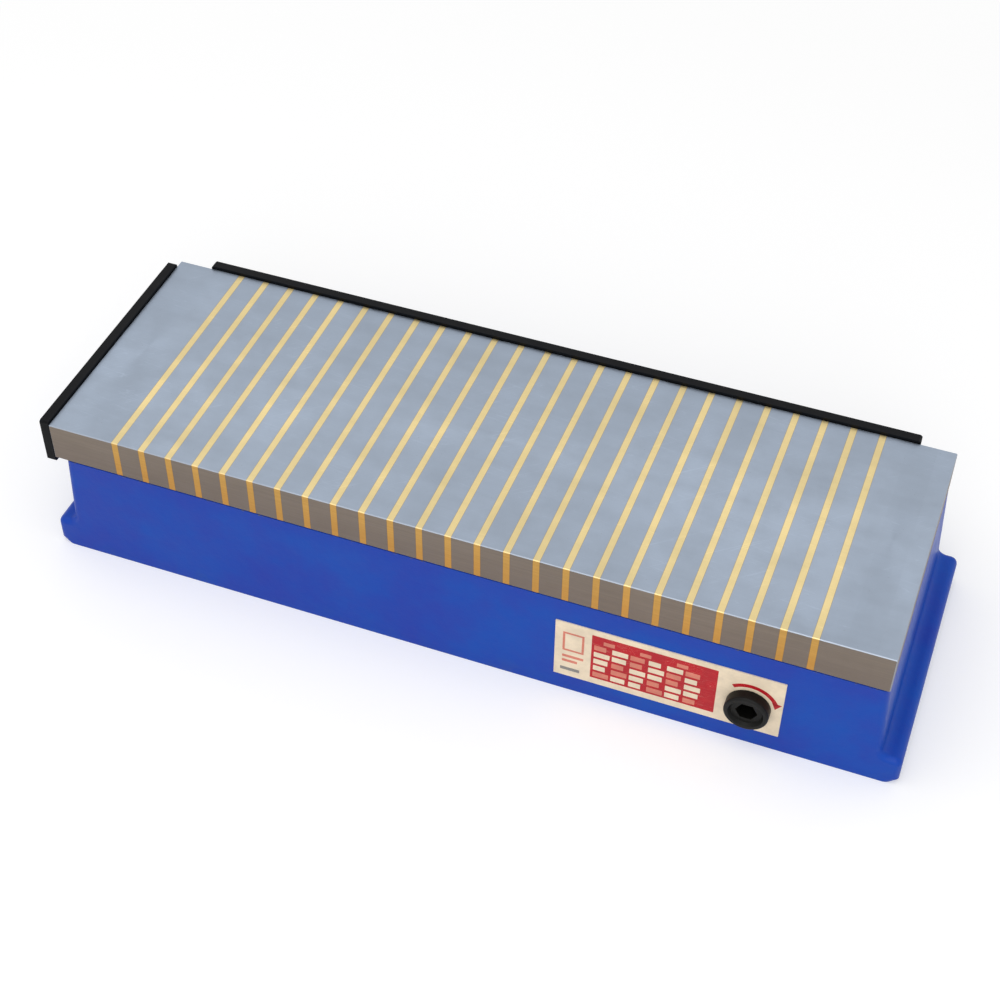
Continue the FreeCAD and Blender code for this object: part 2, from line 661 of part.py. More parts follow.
def tie_bar(side):
    """Square bar in the notches of all the pole bars, on the front (-1) or back (+1) side."""
    outer = side * PACK_HALF_WIDTH
    inner = side * (PACK_HALF_WIDTH - TIE_BAR)
    return box(PACK_LEFT + PACK_END_PLATE, PACK_RIGHT - PACK_END_PLATE, min(outer, inner), max(outer, inner),
               TIE_BAR_Z - TIE_BAR / 2, TIE_BAR_Z + TIE_BAR / 2)


def tie_screw_list():
    """Countersunk screws through the end plates into the tie bars."""
    y = PACK_HALF_WIDTH - TIE_BAR / 2
    ends = [(PACK_LEFT, RIGHTWARD), (PACK_RIGHT, -RIGHTWARD)]
    return [flat_screw(Vector(x, row, TIE_BAR_Z), direction, TIE_SCREW, TIE_SCREW_LENGTH, TIE_SCREW_HEAD)
            for x, direction in ends for row in (-y, y)]


def yoke_screw_rows():
    """Y of the yoke's screws."""
    row = YOKE_HALF_LENGTH - YOKE_SCREW_INSET
    return [-row, row]


def roof_screw_list():
    """Countersunk screws through the yoke's roof, up into the nearest short bar."""
    above = min(SHORT_POLES, key=lambda x: abs(x - SLOT_MIDDLE))
    return [flat_screw(Vector(above, y, ROOF_UNDERSIDE), UPWARD, YOKE_SCREW, YOKE_ROOF + YOKE_SCREW_BITE,
                       TIE_SCREW_HEAD)
            for y in yoke_screw_rows()]


def side_screw_list(maker, *more):
    """Cap screws, or the room that they take up, from the yoke's slot into the last tall bar."""
    seat = SLOT_MIDDLE - SLOT_HALF - YOKE_SCREW_HEAD_HEIGHT
    length = seat - YOKE_LEFT + YOKE_SCREW_BITE
    return [maker(Vector(seat, y, SHAFT_Z), -RIGHTWARD, YOKE_SCREW, length,
                  YOKE_SCREW_HEAD, YOKE_SCREW_HEAD_HEIGHT, *more)
            for y in yoke_screw_rows()]


def yoke_screw_holes():
    """The room that all the yoke's screws take up."""
    return roof_screw_list() + side_screw_list(capped_rod)


def pole_bar(x, bottom):
    """A steel bar of the pack, notched at both ends for the tie bars."""
    bar = box(x - PACK_BAR / 2, x + PACK_BAR / 2, -PACK_HALF_WIDTH, PACK_HALF_WIDTH, bottom, PACK_TOP)
    return bar.cut([tie_bar(-1), tie_bar(1)])


def pack_tall_bars():
    holes = yoke_screw_holes()
    return at_rest(Part.makeCompound([drilled(pole_bar(x, BAR_BOTTOM), holes) for x in TALL_POLES]))


def pack_short_bars():
    holes = yoke_screw_holes()
    return at_rest(Part.makeCompound([drilled(pole_bar(x, YOKE_TOP), holes) for x in SHORT_POLES]))


def magnet(x, bottom):
    """A magnet in the gap to the left of the pole bar at x."""
    half = MAGNET_HALF_WIDTH
    return box(x - POLE_PITCH + PACK_BAR / 2, x - PACK_BAR / 2, -half, half, bottom, PACK_TOP - MAGNET_TOP_GAP)


def pack_tall_magnets():
    return at_rest(Part.makeCompound([magnet(x, BAR_BOTTOM) for x in TALL_POLES[1:]]))


def pack_short_magnets():
    return at_rest(Part.makeCompound([magnet(x, YOKE_TOP) for x in SHORT_POLES]))


def pack_bottom_plate():
    """Plate bonded under the tall bars and magnets, which slides on the floor strips."""
    return at_rest(box(TALL_POLES[0] - PACK_BAR / 2, YOKE_LEFT, -PACK_HALF_WIDTH, PACK_HALF_WIDTH,
                       PACK_BOTTOM, BAR_BOTTOM))


def pack_left_plate():
    plate = box(PACK_LEFT, PACK_LEFT + PACK_END_PLATE, -PACK_HALF_WIDTH, PACK_HALF_WIDTH,
                PACK_BOTTOM, PACK_TOP)
    return at_rest(plate.cut(tie_screw_list()))


def pack_right_plate():
    plate = box(PACK_RIGHT - PACK_END_PLATE, PACK_RIGHT, -PACK_HALF_WIDTH, PACK_HALF_WIDTH,
                YOKE_TOP, PACK_TOP)
    return at_rest(plate.cut(tie_screw_list()))


def pack_tie_bars():
    return at_rest(Part.makeCompound([tie_bar(side).cut(tie_screw_list()) for side in (-1, 1)]))


def pack_tie_screws():
    return at_rest(Part.makeCompound(tie_screw_list()))


def drive_yoke():
    """Inverted U of bronze that straddles the shaft and takes the cams between its walls."""
    block = box(YOKE_LEFT, PACK_RIGHT, -YOKE_HALF_LENGTH, YOKE_HALF_LENGTH, PACK_BOTTOM, YOKE_TOP)
    slot = box(SLOT_MIDDLE - SLOT_HALF, SLOT_MIDDLE + SLOT_HALF, -PACK_HALF_WIDTH, PACK_HALF_WIDTH,
               PACK_BOTTOM - YOKE_CORNER_RADIUS, ROOF_UNDERSIDE)
    slot = rounded(slot, YOKE_CORNER_RADIUS, lambda edge: runs_along(edge, BACKWARD)
                   and edge.CenterOfMass.z > SHAFT_Z)
    return at_rest(block.cut([slot] + yoke_screw_holes()))


def yoke_screws():
    return at_rest(Part.makeCompound(roof_screw_list() + side_screw_list(cap_screw, YOKE_SCREW_SOCKET)))


# ---- Stops --------------------------------------------------------------------------------------

def stop_slot(start, direction):
    """Upright slot for a stop's clamp screw, long enough for the stop's whole travel."""
    width = STOP_SCREW + 2 * STOP_SCREW_SLOT_GAP
    low = start - UPWARD * STOP_RAISE
    high = start + UPWARD * STOP_LOWER
    ends = [rod(point, direction, width, STOP_THICKNESS) for point in (low, high)]
    side = direction.cross(UPWARD) * (width / 2)
    middle = prism([low - side, low + side, high + side, high - side], direction * STOP_THICKNESS)
    return ends[0].fuse([ends[1], middle])


def back_stop_plate():
    near = BACK + STOP_FACE_GAP
    plate = box(PLATE_LEFT + BACK_STOP_END_GAP, PLATE_RIGHT - BACK_STOP_END_GAP, near, near + STOP_THICKNESS,
                STOP_BOTTOM, STOP_TOP)
    plate = plate.makeChamfer(STOP_CORNER_CHAMFER, [e for e in plate.Edges if runs_along(e, BACKWARD)])
    slots = [stop_slot(Vector(x, near, STOP_SCREW_Z), BACKWARD) for x in back_stop_screw_places()]
    return plate.cut(slots)


def end_stop_plate():
    near = PLATE_LEFT - STOP_FACE_GAP
    plate = box(near - STOP_THICKNESS, near, FRONT, END_STOP_BACK, STOP_BOTTOM, STOP_TOP)
    plate = plate.makeChamfer(STOP_CORNER_CHAMFER, [e for e in plate.Edges if runs_along(e, RIGHTWARD)])
    slots = [stop_slot(Vector(near, y, STOP_SCREW_Z), -RIGHTWARD) for y in end_stop_screw_places()]
    return plate.cut(slots)


def stop_screw(start, direction):
    """A button-head clamp screw that holds a stop against the plate."""
    length = STOP_THICKNESS + 2 * STOP_FACE_GAP + STOP_SCREW_BITE
    return button_screw(start, direction, STOP_SCREW, length, STOP_SCREW_HEAD, STOP_SCREW_HEAD_HEIGHT,
                        STOP_SCREW_SOCKET, STOP_SCREW_SOCKET_DEPTH)


def back_stop_screws():
    seat = BACK + STOP_THICKNESS + 2 * STOP_FACE_GAP
    return Part.makeCompound([stop_screw(Vector(x, seat, STOP_SCREW_Z), -BACKWARD)
                              for x in back_stop_screw_places()])


def end_stop_screws():
    seat = PLATE_LEFT - STOP_THICKNESS - 2 * STOP_FACE_GAP
    return Part.makeCompound([stop_screw(Vector(seat, y, STOP_SCREW_Z), RIGHTWARD)
                              for y in end_stop_screw_places()])


# ---- Nameplate ----------------------------------------------------------------------------------

def nameplate():
    """Thin plate on the front face, pierced for the shaft."""
    x1 = SHAFT_X + NAMEPLATE_RIGHT_MARGIN
    z0 = SHAFT_Z - NAMEPLATE_LOWER_MARGIN
    sheet = box(x1 - NAMEPLATE_LENGTH, x1, FRONT - NAMEPLATE_THICKNESS, FRONT, z0, z0 + NAMEPLATE_HEIGHT)
    hole = rod(Vector(SHAFT_X, FRONT, SHAFT_Z), -BACKWARD, SHAFT_DIAMETER + 2 * NAMEPLATE_HOLE_GAP,
               NAMEPLATE_THICKNESS)
    return sheet.cut(hole)


# ---- All the nodes ------------------------------------------------------------------------------

NODES = {
    "base_casting": base_casting,
    "plate_gasket": plate_gasket,
    "left_end_block": left_end_block,
    "right_end_block": right_end_block,
    "pole_bars": pole_bars,
    "brass_strips": brass_strips,
    "plate_screws": plate_screws,
    "floor_wear_strips": floor_wear_strips,
    "side_wear_strips": side_wear_strips,
    "front_bush": front_bush,
    "rear_bush": rear_bush,
    "stop_pin": stop_pin,
    "nameplate": nameplate,
    "back_stop_screws": back_stop_screws,
    "end_stop_screws": end_stop_screws,
    "eccentric_shaft": eccentric_shaft,
    "drive_collar": drive_collar,
    "collar_grub_screw": collar_grub_screw,
    "shaft_seal": shaft_seal,
    "stop_disc": stop_disc,
    "stop_disc_pin": cross_pin,
    "eccentric_cams": eccentric_cams,
    "cam_keys": cam_keys,
    "shaft_spacers": shaft_spacers,
    "pack_tall_bars": pack_tall_bars,
    "pack_short_bars": pack_short_bars,
    "pack_tall_magnets": pack_tall_magnets,
    "pack_short_magnets": pack_short_magnets,
    "pack_bottom_plate": pack_bottom_plate,
    "pack_left_plate": pack_left_plate,
    "pack_right_plate": pack_right_plate,
    "pack_tie_bars": pack_tie_bars,
    "pack_tie_screws": pack_tie_screws,
    "drive_yoke": drive_yoke,
    "yoke_screws": yoke_screws,
    "back_stop_plate": back_stop_plate,
    "end_stop_plate": end_stop_plate,
}

os.makedirs("parts", exist_ok=True)
for name, build in NODES.items():
    shape = build()
    shape.exportStep(os.path.join("parts", name + ".step"))
    print(f"{name}: {len(shape.Solids)} solids, {shape.Volume / 1000:.2f} cm3, valid {shape.isValid()}")
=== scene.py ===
"""Looks of a permanent magnetic chuck: finishes, printed plate, studio and camera.

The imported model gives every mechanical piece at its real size. This script dresses those pieces with
procedural finishes, lays the print on the nameplate as thin inked pieces, and sets up the studio. All
lengths are in metres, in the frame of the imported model: +X to the right, +Y to the back, +Z up.
"""

import logging
import math
from dataclasses import dataclass
from enum import Enum

import bmesh
import bpy
from bpy.types import Material, NodeSocket, Object
from mathutils import Matrix, Vector


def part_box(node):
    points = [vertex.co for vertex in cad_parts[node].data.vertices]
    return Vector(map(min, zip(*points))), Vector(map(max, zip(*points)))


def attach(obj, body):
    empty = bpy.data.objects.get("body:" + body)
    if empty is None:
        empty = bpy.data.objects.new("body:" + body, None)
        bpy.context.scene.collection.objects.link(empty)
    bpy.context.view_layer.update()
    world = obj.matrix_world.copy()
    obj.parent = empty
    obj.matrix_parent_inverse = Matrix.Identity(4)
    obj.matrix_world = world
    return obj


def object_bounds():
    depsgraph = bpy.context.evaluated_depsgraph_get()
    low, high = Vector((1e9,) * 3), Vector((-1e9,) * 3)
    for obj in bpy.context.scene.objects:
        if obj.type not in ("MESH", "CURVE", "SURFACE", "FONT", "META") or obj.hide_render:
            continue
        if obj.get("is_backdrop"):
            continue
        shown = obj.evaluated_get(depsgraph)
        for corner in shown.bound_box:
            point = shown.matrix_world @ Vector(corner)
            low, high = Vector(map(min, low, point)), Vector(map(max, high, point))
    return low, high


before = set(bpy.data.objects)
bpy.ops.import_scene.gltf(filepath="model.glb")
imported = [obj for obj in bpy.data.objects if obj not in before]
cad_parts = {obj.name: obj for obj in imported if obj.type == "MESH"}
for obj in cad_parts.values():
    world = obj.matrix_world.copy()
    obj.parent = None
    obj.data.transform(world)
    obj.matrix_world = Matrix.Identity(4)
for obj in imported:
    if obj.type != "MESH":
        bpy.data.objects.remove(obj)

LOG = logging.getLogger("magnetic_chuck")
MM = 0.001
EDGE_SAMPLES = 6
Colour = tuple[float, float, float, float]
Triple = tuple[float, float, float]


class Body(Enum):
    """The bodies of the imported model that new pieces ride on."""

    CHUCK_BASE = "chuck_base"


class Slot(Enum):
    """Material slots of the record. Nothing in this script uses it; the new pieces get their own finishes.
    """

    PRINTED_PLATE = "printed_plate"


def srgb(red: int, green: int, blue: int) -> Colour:
    """Turn a display colour into the linear colour that shaders use.

    Args:
        red: Red, from 0 to 255.
        green: Green, from 0 to 255.
        blue: Blue, from 0 to 255.

    Returns:
        The linear colour with full opacity.
    """

    def linear(value: int) -> float:
        """Linear share of one channel."""
        share = value / 255
        return share / 12.92 if share <= 0.04045 else ((share + 0.055) / 1.055) ** 2.4

    return linear(red), linear(green), linear(blue), 1.0


def shade(colour: Colour, factor: float) -> Colour:
    """Make a colour lighter or darker.

    Args:
        colour: Linear colour.
        factor: What its three channels are multiplied by.

    Returns:
        The scaled colour, with its opacity kept.
    """
    red, green, blue, opacity = colour
    return red * factor, green * factor, blue * factor, opacity


# ---- Shader graph -------------------------------------------------------------------------------


class Graph:
    """Adds nodes to one new material and joins them to its surface shader."""

    def __init__(self, name: str) -> None:
        """Start a material.

        Args:
            name: The material's name.
        """
        self.material: Material = bpy.data.materials.new(name)
        self.material.use_nodes = True
        self.nodes = self.material.node_tree.nodes
        self.links = self.material.node_tree.links
        self.shader = self.nodes["Principled BSDF"]
        self.place = self.nodes.new("ShaderNodeTexCoord")

    def feed(self, socket: NodeSocket, value: object) -> None:
        """Join a socket to another one, or set its own value.

        Args:
            socket: The input to fill.
            value: An output socket, a number or a tuple.
        """
        if isinstance(value, NodeSocket):
            self.links.new(value, socket)
        else:
            socket.default_value = value

    def surface(self, **values: object) -> None:
        """Fill inputs of the surface shader, named in lower case with underscores for spaces."""
        names = {socket.name.lower().replace(" ", "_"): socket for socket in self.shader.inputs}
        for name, value in values.items():
            self.feed(names[name], value)

    def point(self) -> NodeSocket:
        """The point on the surface, in object coordinates."""
        return self.place.outputs["Object"]

    def axis(self, which: int, source: NodeSocket | None = None) -> NodeSocket:
        """One coordinate of a vector.

        Args:
            which: 0, 1 or 2 for X, Y or Z.
            source: The vector, or None for the point on the surface.

        Returns:
            The coordinate.
        """
        split = self.nodes.new("ShaderNodeSeparateXYZ")
        self.links.new(source or self.point(), split.inputs[0])
        return split.outputs[which]

    def facing(self, which: int, sign: float = 1.0) -> NodeSocket:
        """How far the surface faces along an axis.

        Args:
            which: 0, 1 or 2 for X, Y or Z.
            sign: 1 or -1 for the axis or its opposite.

        Returns:
            1 where the surface faces that way squarely, and 0 where it is edge on or turned away.
        """
        component = self.axis(which, self.place.outputs["Normal"])
        return self.band(self.maths("MULTIPLY", component, sign), 0.55, 0.85)

    def stretched(self, scale: Triple, turn: float = 0.0) -> NodeSocket:
        """The point on the surface, turned about Z and then scaled.

        Args:
            scale: Factors for X, Y and Z, in cycles per metre.
            turn: Angle in degrees.

        Returns:
            The vector for a pattern.
        """
        source = self.point()
        if turn:
            mapping = self.nodes.new("ShaderNodeMapping")
            mapping.inputs["Rotation"].default_value = (0.0, 0.0, math.radians(turn))
            self.links.new(source, mapping.inputs["Vector"])
            source = mapping.outputs["Vector"]
        times = self.nodes.new("ShaderNodeVectorMath")
        times.operation = "MULTIPLY"
        self.links.new(source, times.inputs[0])
        times.inputs[1].default_value = scale
        return times.outputs["Vector"]

    def noise(self, scale: float, detail: float = 2.0, rough: float = 0.5,
              vector: NodeSocket | None = None) -> NodeSocket:
        """Cloudy noise between 0 and 1.

        Args:
            scale: Cycles per metre, or 1 for a vector that is already scaled.
            detail: Octaves.
            rough: How strong the finer octaves are.
            vector: Where to read it, or None for the point on the surface.

        Returns:
            The value.
        """
        cloud = self.nodes.new("ShaderNodeTexNoise")
        self.links.new(vector or self.point(), cloud.inputs["Vector"])
        cloud.inputs["Scale"].default_value = scale
        cloud.inputs["Detail"].default_value = detail
        cloud.inputs["Roughness"].default_value = rough
        return cloud.outputs["Fac"]

    def cells(self, scale: float) -> NodeSocket:
        """Distance to the nearest of scattered points, 0 at each one.

        Args:
            scale: Cells per metre.

        Returns:
            The distance, in cells.
        """
        scatter = self.nodes.new("ShaderNodeTexVoronoi")
        self.links.new(self.point(), scatter.inputs["Vector"])
        scatter.inputs["Scale"].default_value = scale
        return scatter.outputs["Distance"]

    def white_noise(self, value: NodeSocket) -> NodeSocket:
        """A value between 0 and 1 that is different for each whole number.

        Args:
            value: The whole number.

        Returns:
            The value.
        """
        pick = self.nodes.new("ShaderNodeTexWhiteNoise")
        pick.noise_dimensions = "1D"
        self.links.new(value, pick.inputs["W"])
        return pick.outputs["Value"]

    def maths(self, operation: str, first: object, second: object = 0.0) -> NodeSocket:
        """One arithmetic step.

        Args:
            operation: Name of the Math node's operation.
            first: Socket or number.
            second: Socket or number.

        Returns:
            The result.
        """
        step = self.nodes.new("ShaderNodeMath")
        step.operation = operation
        self.feed(step.inputs[0], first)
        self.feed(step.inputs[1], second)
        return step.outputs[0]

    def band(self, value: object, low: float, high: float, start: float = 0.0,
             end: float = 1.0) -> NodeSocket:
        """Smooth step from start at low to end at high.

        Args:
            value: Socket to read.
            low: Value where the step starts.
            high: Value where it ends. It may be below low.
            start: Result up to low.
            end: Result from high on.

        Returns:
            The result.
        """
        step = self.nodes.new("ShaderNodeMapRange")
        step.interpolation_type = "SMOOTHSTEP"
        if low > high:
            low, high, start, end = high, low, end, start
        self.feed(step.inputs["Value"], value)
        step.inputs["From Min"].default_value = low
        step.inputs["From Max"].default_value = high
        step.inputs["To Min"].default_value = start
        step.inputs["To Max"].default_value = end
        return step.outputs["Result"]

    def mix(self, share: object, first: object, second: object) -> NodeSocket:
        """Blend two colours.

        Args:
            share: Share of the second, from 0 to 1.
            first: Socket or colour.
            second: Socket or colour.

        Returns:
            The blend.
        """
        blend = self.nodes.new("ShaderNodeMix")
        blend.data_type = "RGBA"
        self.feed(blend.inputs[0], share)
        self.feed(blend.inputs[6], first)
        self.feed(blend.inputs[7], second)
        return blend.outputs[2]

    def hairlines(self, scale: Triple, turn: float, width: float) -> NodeSocket:
        """Thin, long marks such as scratches.

        Args:
            scale: Cycles per metre along and across the marks.
            turn: Direction of the marks, in degrees from X.
            width: Width of a mark, as a share of the pattern's range.

        Returns:
            1 on a mark and 0 elsewhere.
        """
        level = self.noise(1.0, 1.0, 0.4, self.stretched(scale, turn))
        off = self.maths("ABSOLUTE", self.maths("SUBTRACT", level, 0.5))
        return self.band(off, width, 0.0)

    def edges(self, radius: float) -> NodeSocket:
        """Where the surface is near a sharp edge.

        Args:
            radius: How far from the edge it reaches.

        Returns:
            0 on flat faces, rising towards edges.
        """
        bevel = self.nodes.new("ShaderNodeBevel")
        bevel.samples = EDGE_SAMPLES
        bevel.inputs["Radius"].default_value = radius
        flat = self.nodes.new("ShaderNodeNewGeometry")
        match = self.nodes.new("ShaderNodeVectorMath")
        match.operation = "DOT_PRODUCT"
        self.links.new(bevel.outputs["Normal"], match.inputs[0])
        self.links.new(flat.outputs["Normal"], match.inputs[1])
        return self.band(match.outputs["Value"], 0.995, 0.86)

    def relief(self, height: NodeSocket, depth: float, soften: float = 0.0) -> NodeSocket:
        """Turn heights into a bumpy surface.

        Args:
            height: Heights from 0 to 1.
            depth: What a height of 1 stands for, in metres.
            soften: Radius to which sharp edges are rounded, or 0 to leave them.

        Returns:
            The normal for the shader.
        """
        bump = self.nodes.new("ShaderNodeBump")
        bump.inputs["Strength"].default_value = 1.0
        bump.inputs["Distance"].default_value = depth
        self.links.new(height, bump.inputs["Height"])
        if soften:
            bevel = self.nodes.new("ShaderNodeBevel")
            bevel.samples = EDGE_SAMPLES
            bevel.inputs["Radius"].default_value = soften
            self.links.new(bevel.outputs["Normal"], bump.inputs["Normal"])
        return bump.outputs["Normal"]


# ---- Finishes -----------------------------------------------------------------------------------


@dataclass(frozen=True)
class GroundLamination:
    """Surface-ground metal of the top plate, with a coarser finish on its upright sides. The upright sides
    also get a darker, browner copy of the top's colour, which is painted shade and reflection.

    The plate is ground along X. Its joints show as fine dark lines, where solder filled the gaps. The
    strips' first middle, half width, pitch and number place those joints along X.
    """

    name: str
    top: Colour
    # side and side_low are darker, browner copies of the top's colour for the upright faces: painted shade
    # and reflection.
    side: Colour
    side_low: Colour
    side_top: float
    side_bottom: float
    first_strip: float
    strip_half: float
    pitch: float
    strip_count: int
    top_roughness: float = 0.46
    side_roughness: float = 0.52

    def near_joint(self, g: Graph, reach: float) -> NodeSocket:
        """Where the surface is close to a joint between steel and brass.

        Args:
            g: Graph of the material.
            reach: How far from the joint it fades out.

        Returns:
            1 on a joint and 0 elsewhere.
        """
        shifted = g.maths("SUBTRACT", g.axis(0), self.first_strip - self.pitch / 2)
        inside = g.maths("SUBTRACT", g.maths("FLOORED_MODULO", shifted, self.pitch), self.pitch / 2)
        off = g.maths("ABSOLUTE", g.maths("SUBTRACT", g.maths("ABSOLUTE", inside), self.strip_half))
        half_field = self.pitch * (self.strip_count - 1) / 2
        along = g.maths("ABSOLUTE", g.maths("SUBTRACT", g.axis(0), self.first_strip + half_field))
        field = g.band(along, half_field + 2 * self.strip_half, half_field + 1.5 * self.strip_half)
        return g.maths("MULTIPLY", g.band(off, reach, reach * 0.2), field)

    def bar_tone(self, g: Graph) -> NodeSocket:
        """Tone that differs a little from bar to bar, because each was sawn from other stock.

        Args:
            g: Graph of the material.

        Returns:
            A value between 0 and 1, the same all over one bar.
        """
        offset = self.first_strip - self.strip_half
        steps = g.maths("DIVIDE", g.maths("SUBTRACT", g.axis(0), offset), self.pitch)
        return g.white_noise(g.maths("FLOOR", steps))

    def broken_edge(self, g: Graph) -> NodeSocket:
        """The narrow slanted faces where the plate's edges are broken, which are lightened as a painted
        highlight.

        Args:
            g: Graph of the material.

        Returns:
            1 on a slanted face and 0 on an upright or level one.
        """
        normal = g.place.outputs["Normal"]
        sizes = [g.maths("ABSOLUTE", g.axis(which, normal)) for which in range(3)]
        most = g.maths("MAXIMUM", g.maths("MAXIMUM", sizes[0], sizes[1]), sizes[2])
        return g.band(most, 0.86, 0.76)

    def make(self) -> Material:
        """Build the material."""
        g = Graph(self.name)
        up = g.facing(2)
        lines = g.noise(1.0, 5.0, 0.7, g.stretched((14.0, 2400.0, 14.0)))
        passes = g.noise(1.0, 2.0, 0.6, g.stretched((2.0, 75.0, 2.0)))
        milled = g.noise(1.0, 4.0, 0.65, g.stretched((22.0, 22.0, 1500.0)))
        clouds = g.noise(38.0, 5.0, 0.62)
        speckle = g.noise(420.0, 3.0, 0.6)
        along = g.hairlines((16.0, 520.0, 16.0), 7.0, 0.010)
        across = g.hairlines((11.0, 360.0, 11.0), -38.0, 0.006)
        scratches = g.maths("MULTIPLY", g.maths("MAXIMUM", along, across), g.band(clouds, 0.42, 0.62))
        pits = g.band(g.cells(260.0), 0.07, 0.03)

        tone = g.maths("ADD", g.maths("MULTIPLY", clouds, 0.55), g.maths("MULTIPLY", passes, 0.25))
        tone = g.band(g.maths("ADD", tone, g.maths("MULTIPLY", lines, 0.20)), 0.30, 0.70)
        top = g.mix(tone, shade(self.top, 0.90), shade(self.top, 1.09))
        top = g.mix(g.maths("MULTIPLY", scratches, 0.35), top, shade(self.top, 1.35))
        top = g.mix(g.maths("MULTIPLY", pits, 0.35), top, shade(self.side, 0.7))
        # The upright faces take the darker, browner side colours, which are painted shade and reflection,
        # darker still towards their lower edge.
        side_tone = g.maths("ADD", g.maths("MULTIPLY", milled, 0.5), g.maths("MULTIPLY", clouds, 0.5))
        side_tone = g.band(side_tone, 0.34, 0.66)
        side = g.mix(side_tone, shade(self.side, 0.88), shade(self.side, 1.10))
        low = g.band(g.axis(2), self.side_top, self.side_bottom)
        side = g.mix(g.maths("MULTIPLY", low, 0.5), side, self.side_low)

        colour = g.mix(up, side, top)
        darker = g.mix(up, shade(self.side, 0.80), shade(self.top, 0.86))
        colour = g.mix(g.maths("MULTIPLY", self.bar_tone(g), 0.22), colour, darker)
        joint = g.maths("MULTIPLY", self.near_joint(g, 0.20 * MM), 0.5)
        colour = g.mix(joint, colour, shade(self.side, 0.45))
        worn = g.maths("MULTIPLY", g.edges(0.5 * MM), g.band(speckle, 0.30, 0.60, 0.45, 0.9))
        worn = g.maths("MULTIPLY", worn, g.band(self.near_joint(g, 1.2 * MM), 0.3, 0.0))
        colour = g.mix(worn, colour, shade(self.top, 1.12))
        # Painted highlight: the slanted broken-edge faces are lightened as if they caught the light.
        colour = g.mix(g.maths("MULTIPLY", self.broken_edge(g), 0.5), colour, shade(self.top, 1.3))

        rough = g.maths("ADD", g.band(clouds, 0.3, 0.7, -0.05, 0.07), g.band(lines, 0.3, 0.7, -0.04, 0.04))
        base = g.band(up, 0.0, 1.0, self.side_roughness, self.top_roughness)
        height = g.maths("ADD", g.maths("MULTIPLY", lines, 0.6), g.maths("MULTIPLY", speckle, 0.5))
        height = g.maths("SUBTRACT", height, g.maths("MULTIPLY", scratches, 0.5))
        g.surface(base_color=colour, metallic=1.0, roughness=g.maths("ADD", base, rough),
                  anisotropic=0.35, normal=g.relief(height, 0.012 * MM))
        return g.material


@dataclass(frozen=True)
class CastEnamel:
    """Blue enamel over a sand casting, ground bare on the resting face."""

    name: str
    blue: Colour
    deep_tone_and_shade: Colour
    thin: Colour
    primer: Colour
    iron: Colour

    def make(self) -> Material:
        """Build the material."""
        g = Graph(self.name)
        height = g.axis(2)
        clouds = g.noise(13.0, 4.0, 0.6)
        patches = g.noise(70.0, 4.0, 0.6)
        lumps = g.noise(210.0, 3.0, 0.55)
        peel = g.noise(1250.0, 2.0, 0.5)
        grit = g.noise(2600.0, 2.0, 0.5)

        tone = g.band(g.maths("ADD", g.maths("MULTIPLY", clouds, 0.7), g.maths("MULTIPLY", patches, 0.3)),
                      0.32, 0.68)
        paint = g.mix(tone, self.deep_tone_and_shade, self.blue)
        # Painted shade: the paint is mixed towards the deep colour over the top of the casting, under the
        # plate, as if in its shadow.
        paint = g.mix(g.band(height, 52 * MM, 66 * MM, 0.0, 0.45), paint, self.deep_tone_and_shade)
        dust = g.maths("MULTIPLY", g.band(patches, 0.50, 0.72), g.band(height, 14 * MM, 0.0, 0.0, 0.16))
        paint = g.mix(dust, paint, shade(self.primer, 0.8))

        edge = g.edges(1.0 * MM)
        chip = g.maths("MULTIPLY", g.band(edge, 0.25, 0.7), g.band(g.noise(330.0, 5.0, 0.7), 0.58, 0.63))
        colour = g.mix(g.maths("MULTIPLY", edge, 0.20), paint, self.thin)
        colour = g.mix(chip, colour, self.primer)

        bare = g.maths("MULTIPLY", g.facing(2, -1.0), g.band(height, 0.4 * MM, 0.2 * MM))
        cut = g.noise(1.0, 4.0, 0.65, g.stretched((900.0, 12.0, 12.0)))
        iron = g.mix(g.band(cut, 0.3, 0.7), shade(self.iron, 0.85), shade(self.iron, 1.15))
        colour = g.mix(bare, colour, iron)

        gloss = g.maths("ADD", g.band(patches, 0.3, 0.7, 0.34, 0.46), g.maths("MULTIPLY", chip, 0.3))
        relief = g.maths("ADD", g.maths("MULTIPLY", lumps, 0.70), g.maths("MULTIPLY", peel, 0.20))
        relief = g.maths("ADD", relief, g.maths("MULTIPLY", grit, 0.04))
        relief = g.maths("SUBTRACT", relief, g.maths("MULTIPLY", chip, 0.25))
        g.surface(base_color=colour, metallic=bare, roughness=gloss, specular_ior_level=0.2,
                  normal=g.relief(relief, 0.20 * MM, 0.6 * MM))
        return g.material


@dataclass(frozen=True)
class BlackFinish:
    """Black oxide or black paint on steel, rubbed at the edges."""

    name: str
    black: Colour
    rubbed: Colour
    roughness: float
    metallic: float = 0.0
    gloss: float = 0.2
    edge_share: float = 0.55

    def make(self) -> Material:
        """Build the material."""
        g = Graph(self.name)
        clouds = g.noise(120.0, 4.0, 0.6)
        speckle = g.noise(1500.0, 3.0, 0.6)
        marks = g.hairlines((40.0, 900.0, 40.0), 24.0, 0.008)
        tone = g.band(clouds, 0.3, 0.7)
        colour = g.mix(tone, shade(self.black, 0.8), shade(self.black, 1.25))
        edge = g.maths("MULTIPLY", g.edges(0.35 * MM), g.band(clouds, 0.35, 0.65, 0.35, 1.0))
        colour = g.mix(g.maths("MULTIPLY", edge, self.edge_share), colour, self.rubbed)
        colour = g.mix(g.maths("MULTIPLY", marks, 0.25), colour, self.rubbed)
        rough = g.band(clouds, 0.3, 0.7, self.roughness - 0.05, self.roughness + 0.07)
        g.surface(base_color=colour, metallic=self.metallic, roughness=rough, specular_ior_level=self.gloss,
                  normal=g.relief(speckle, 0.012 * MM, 0.25 * MM))
        return g.material


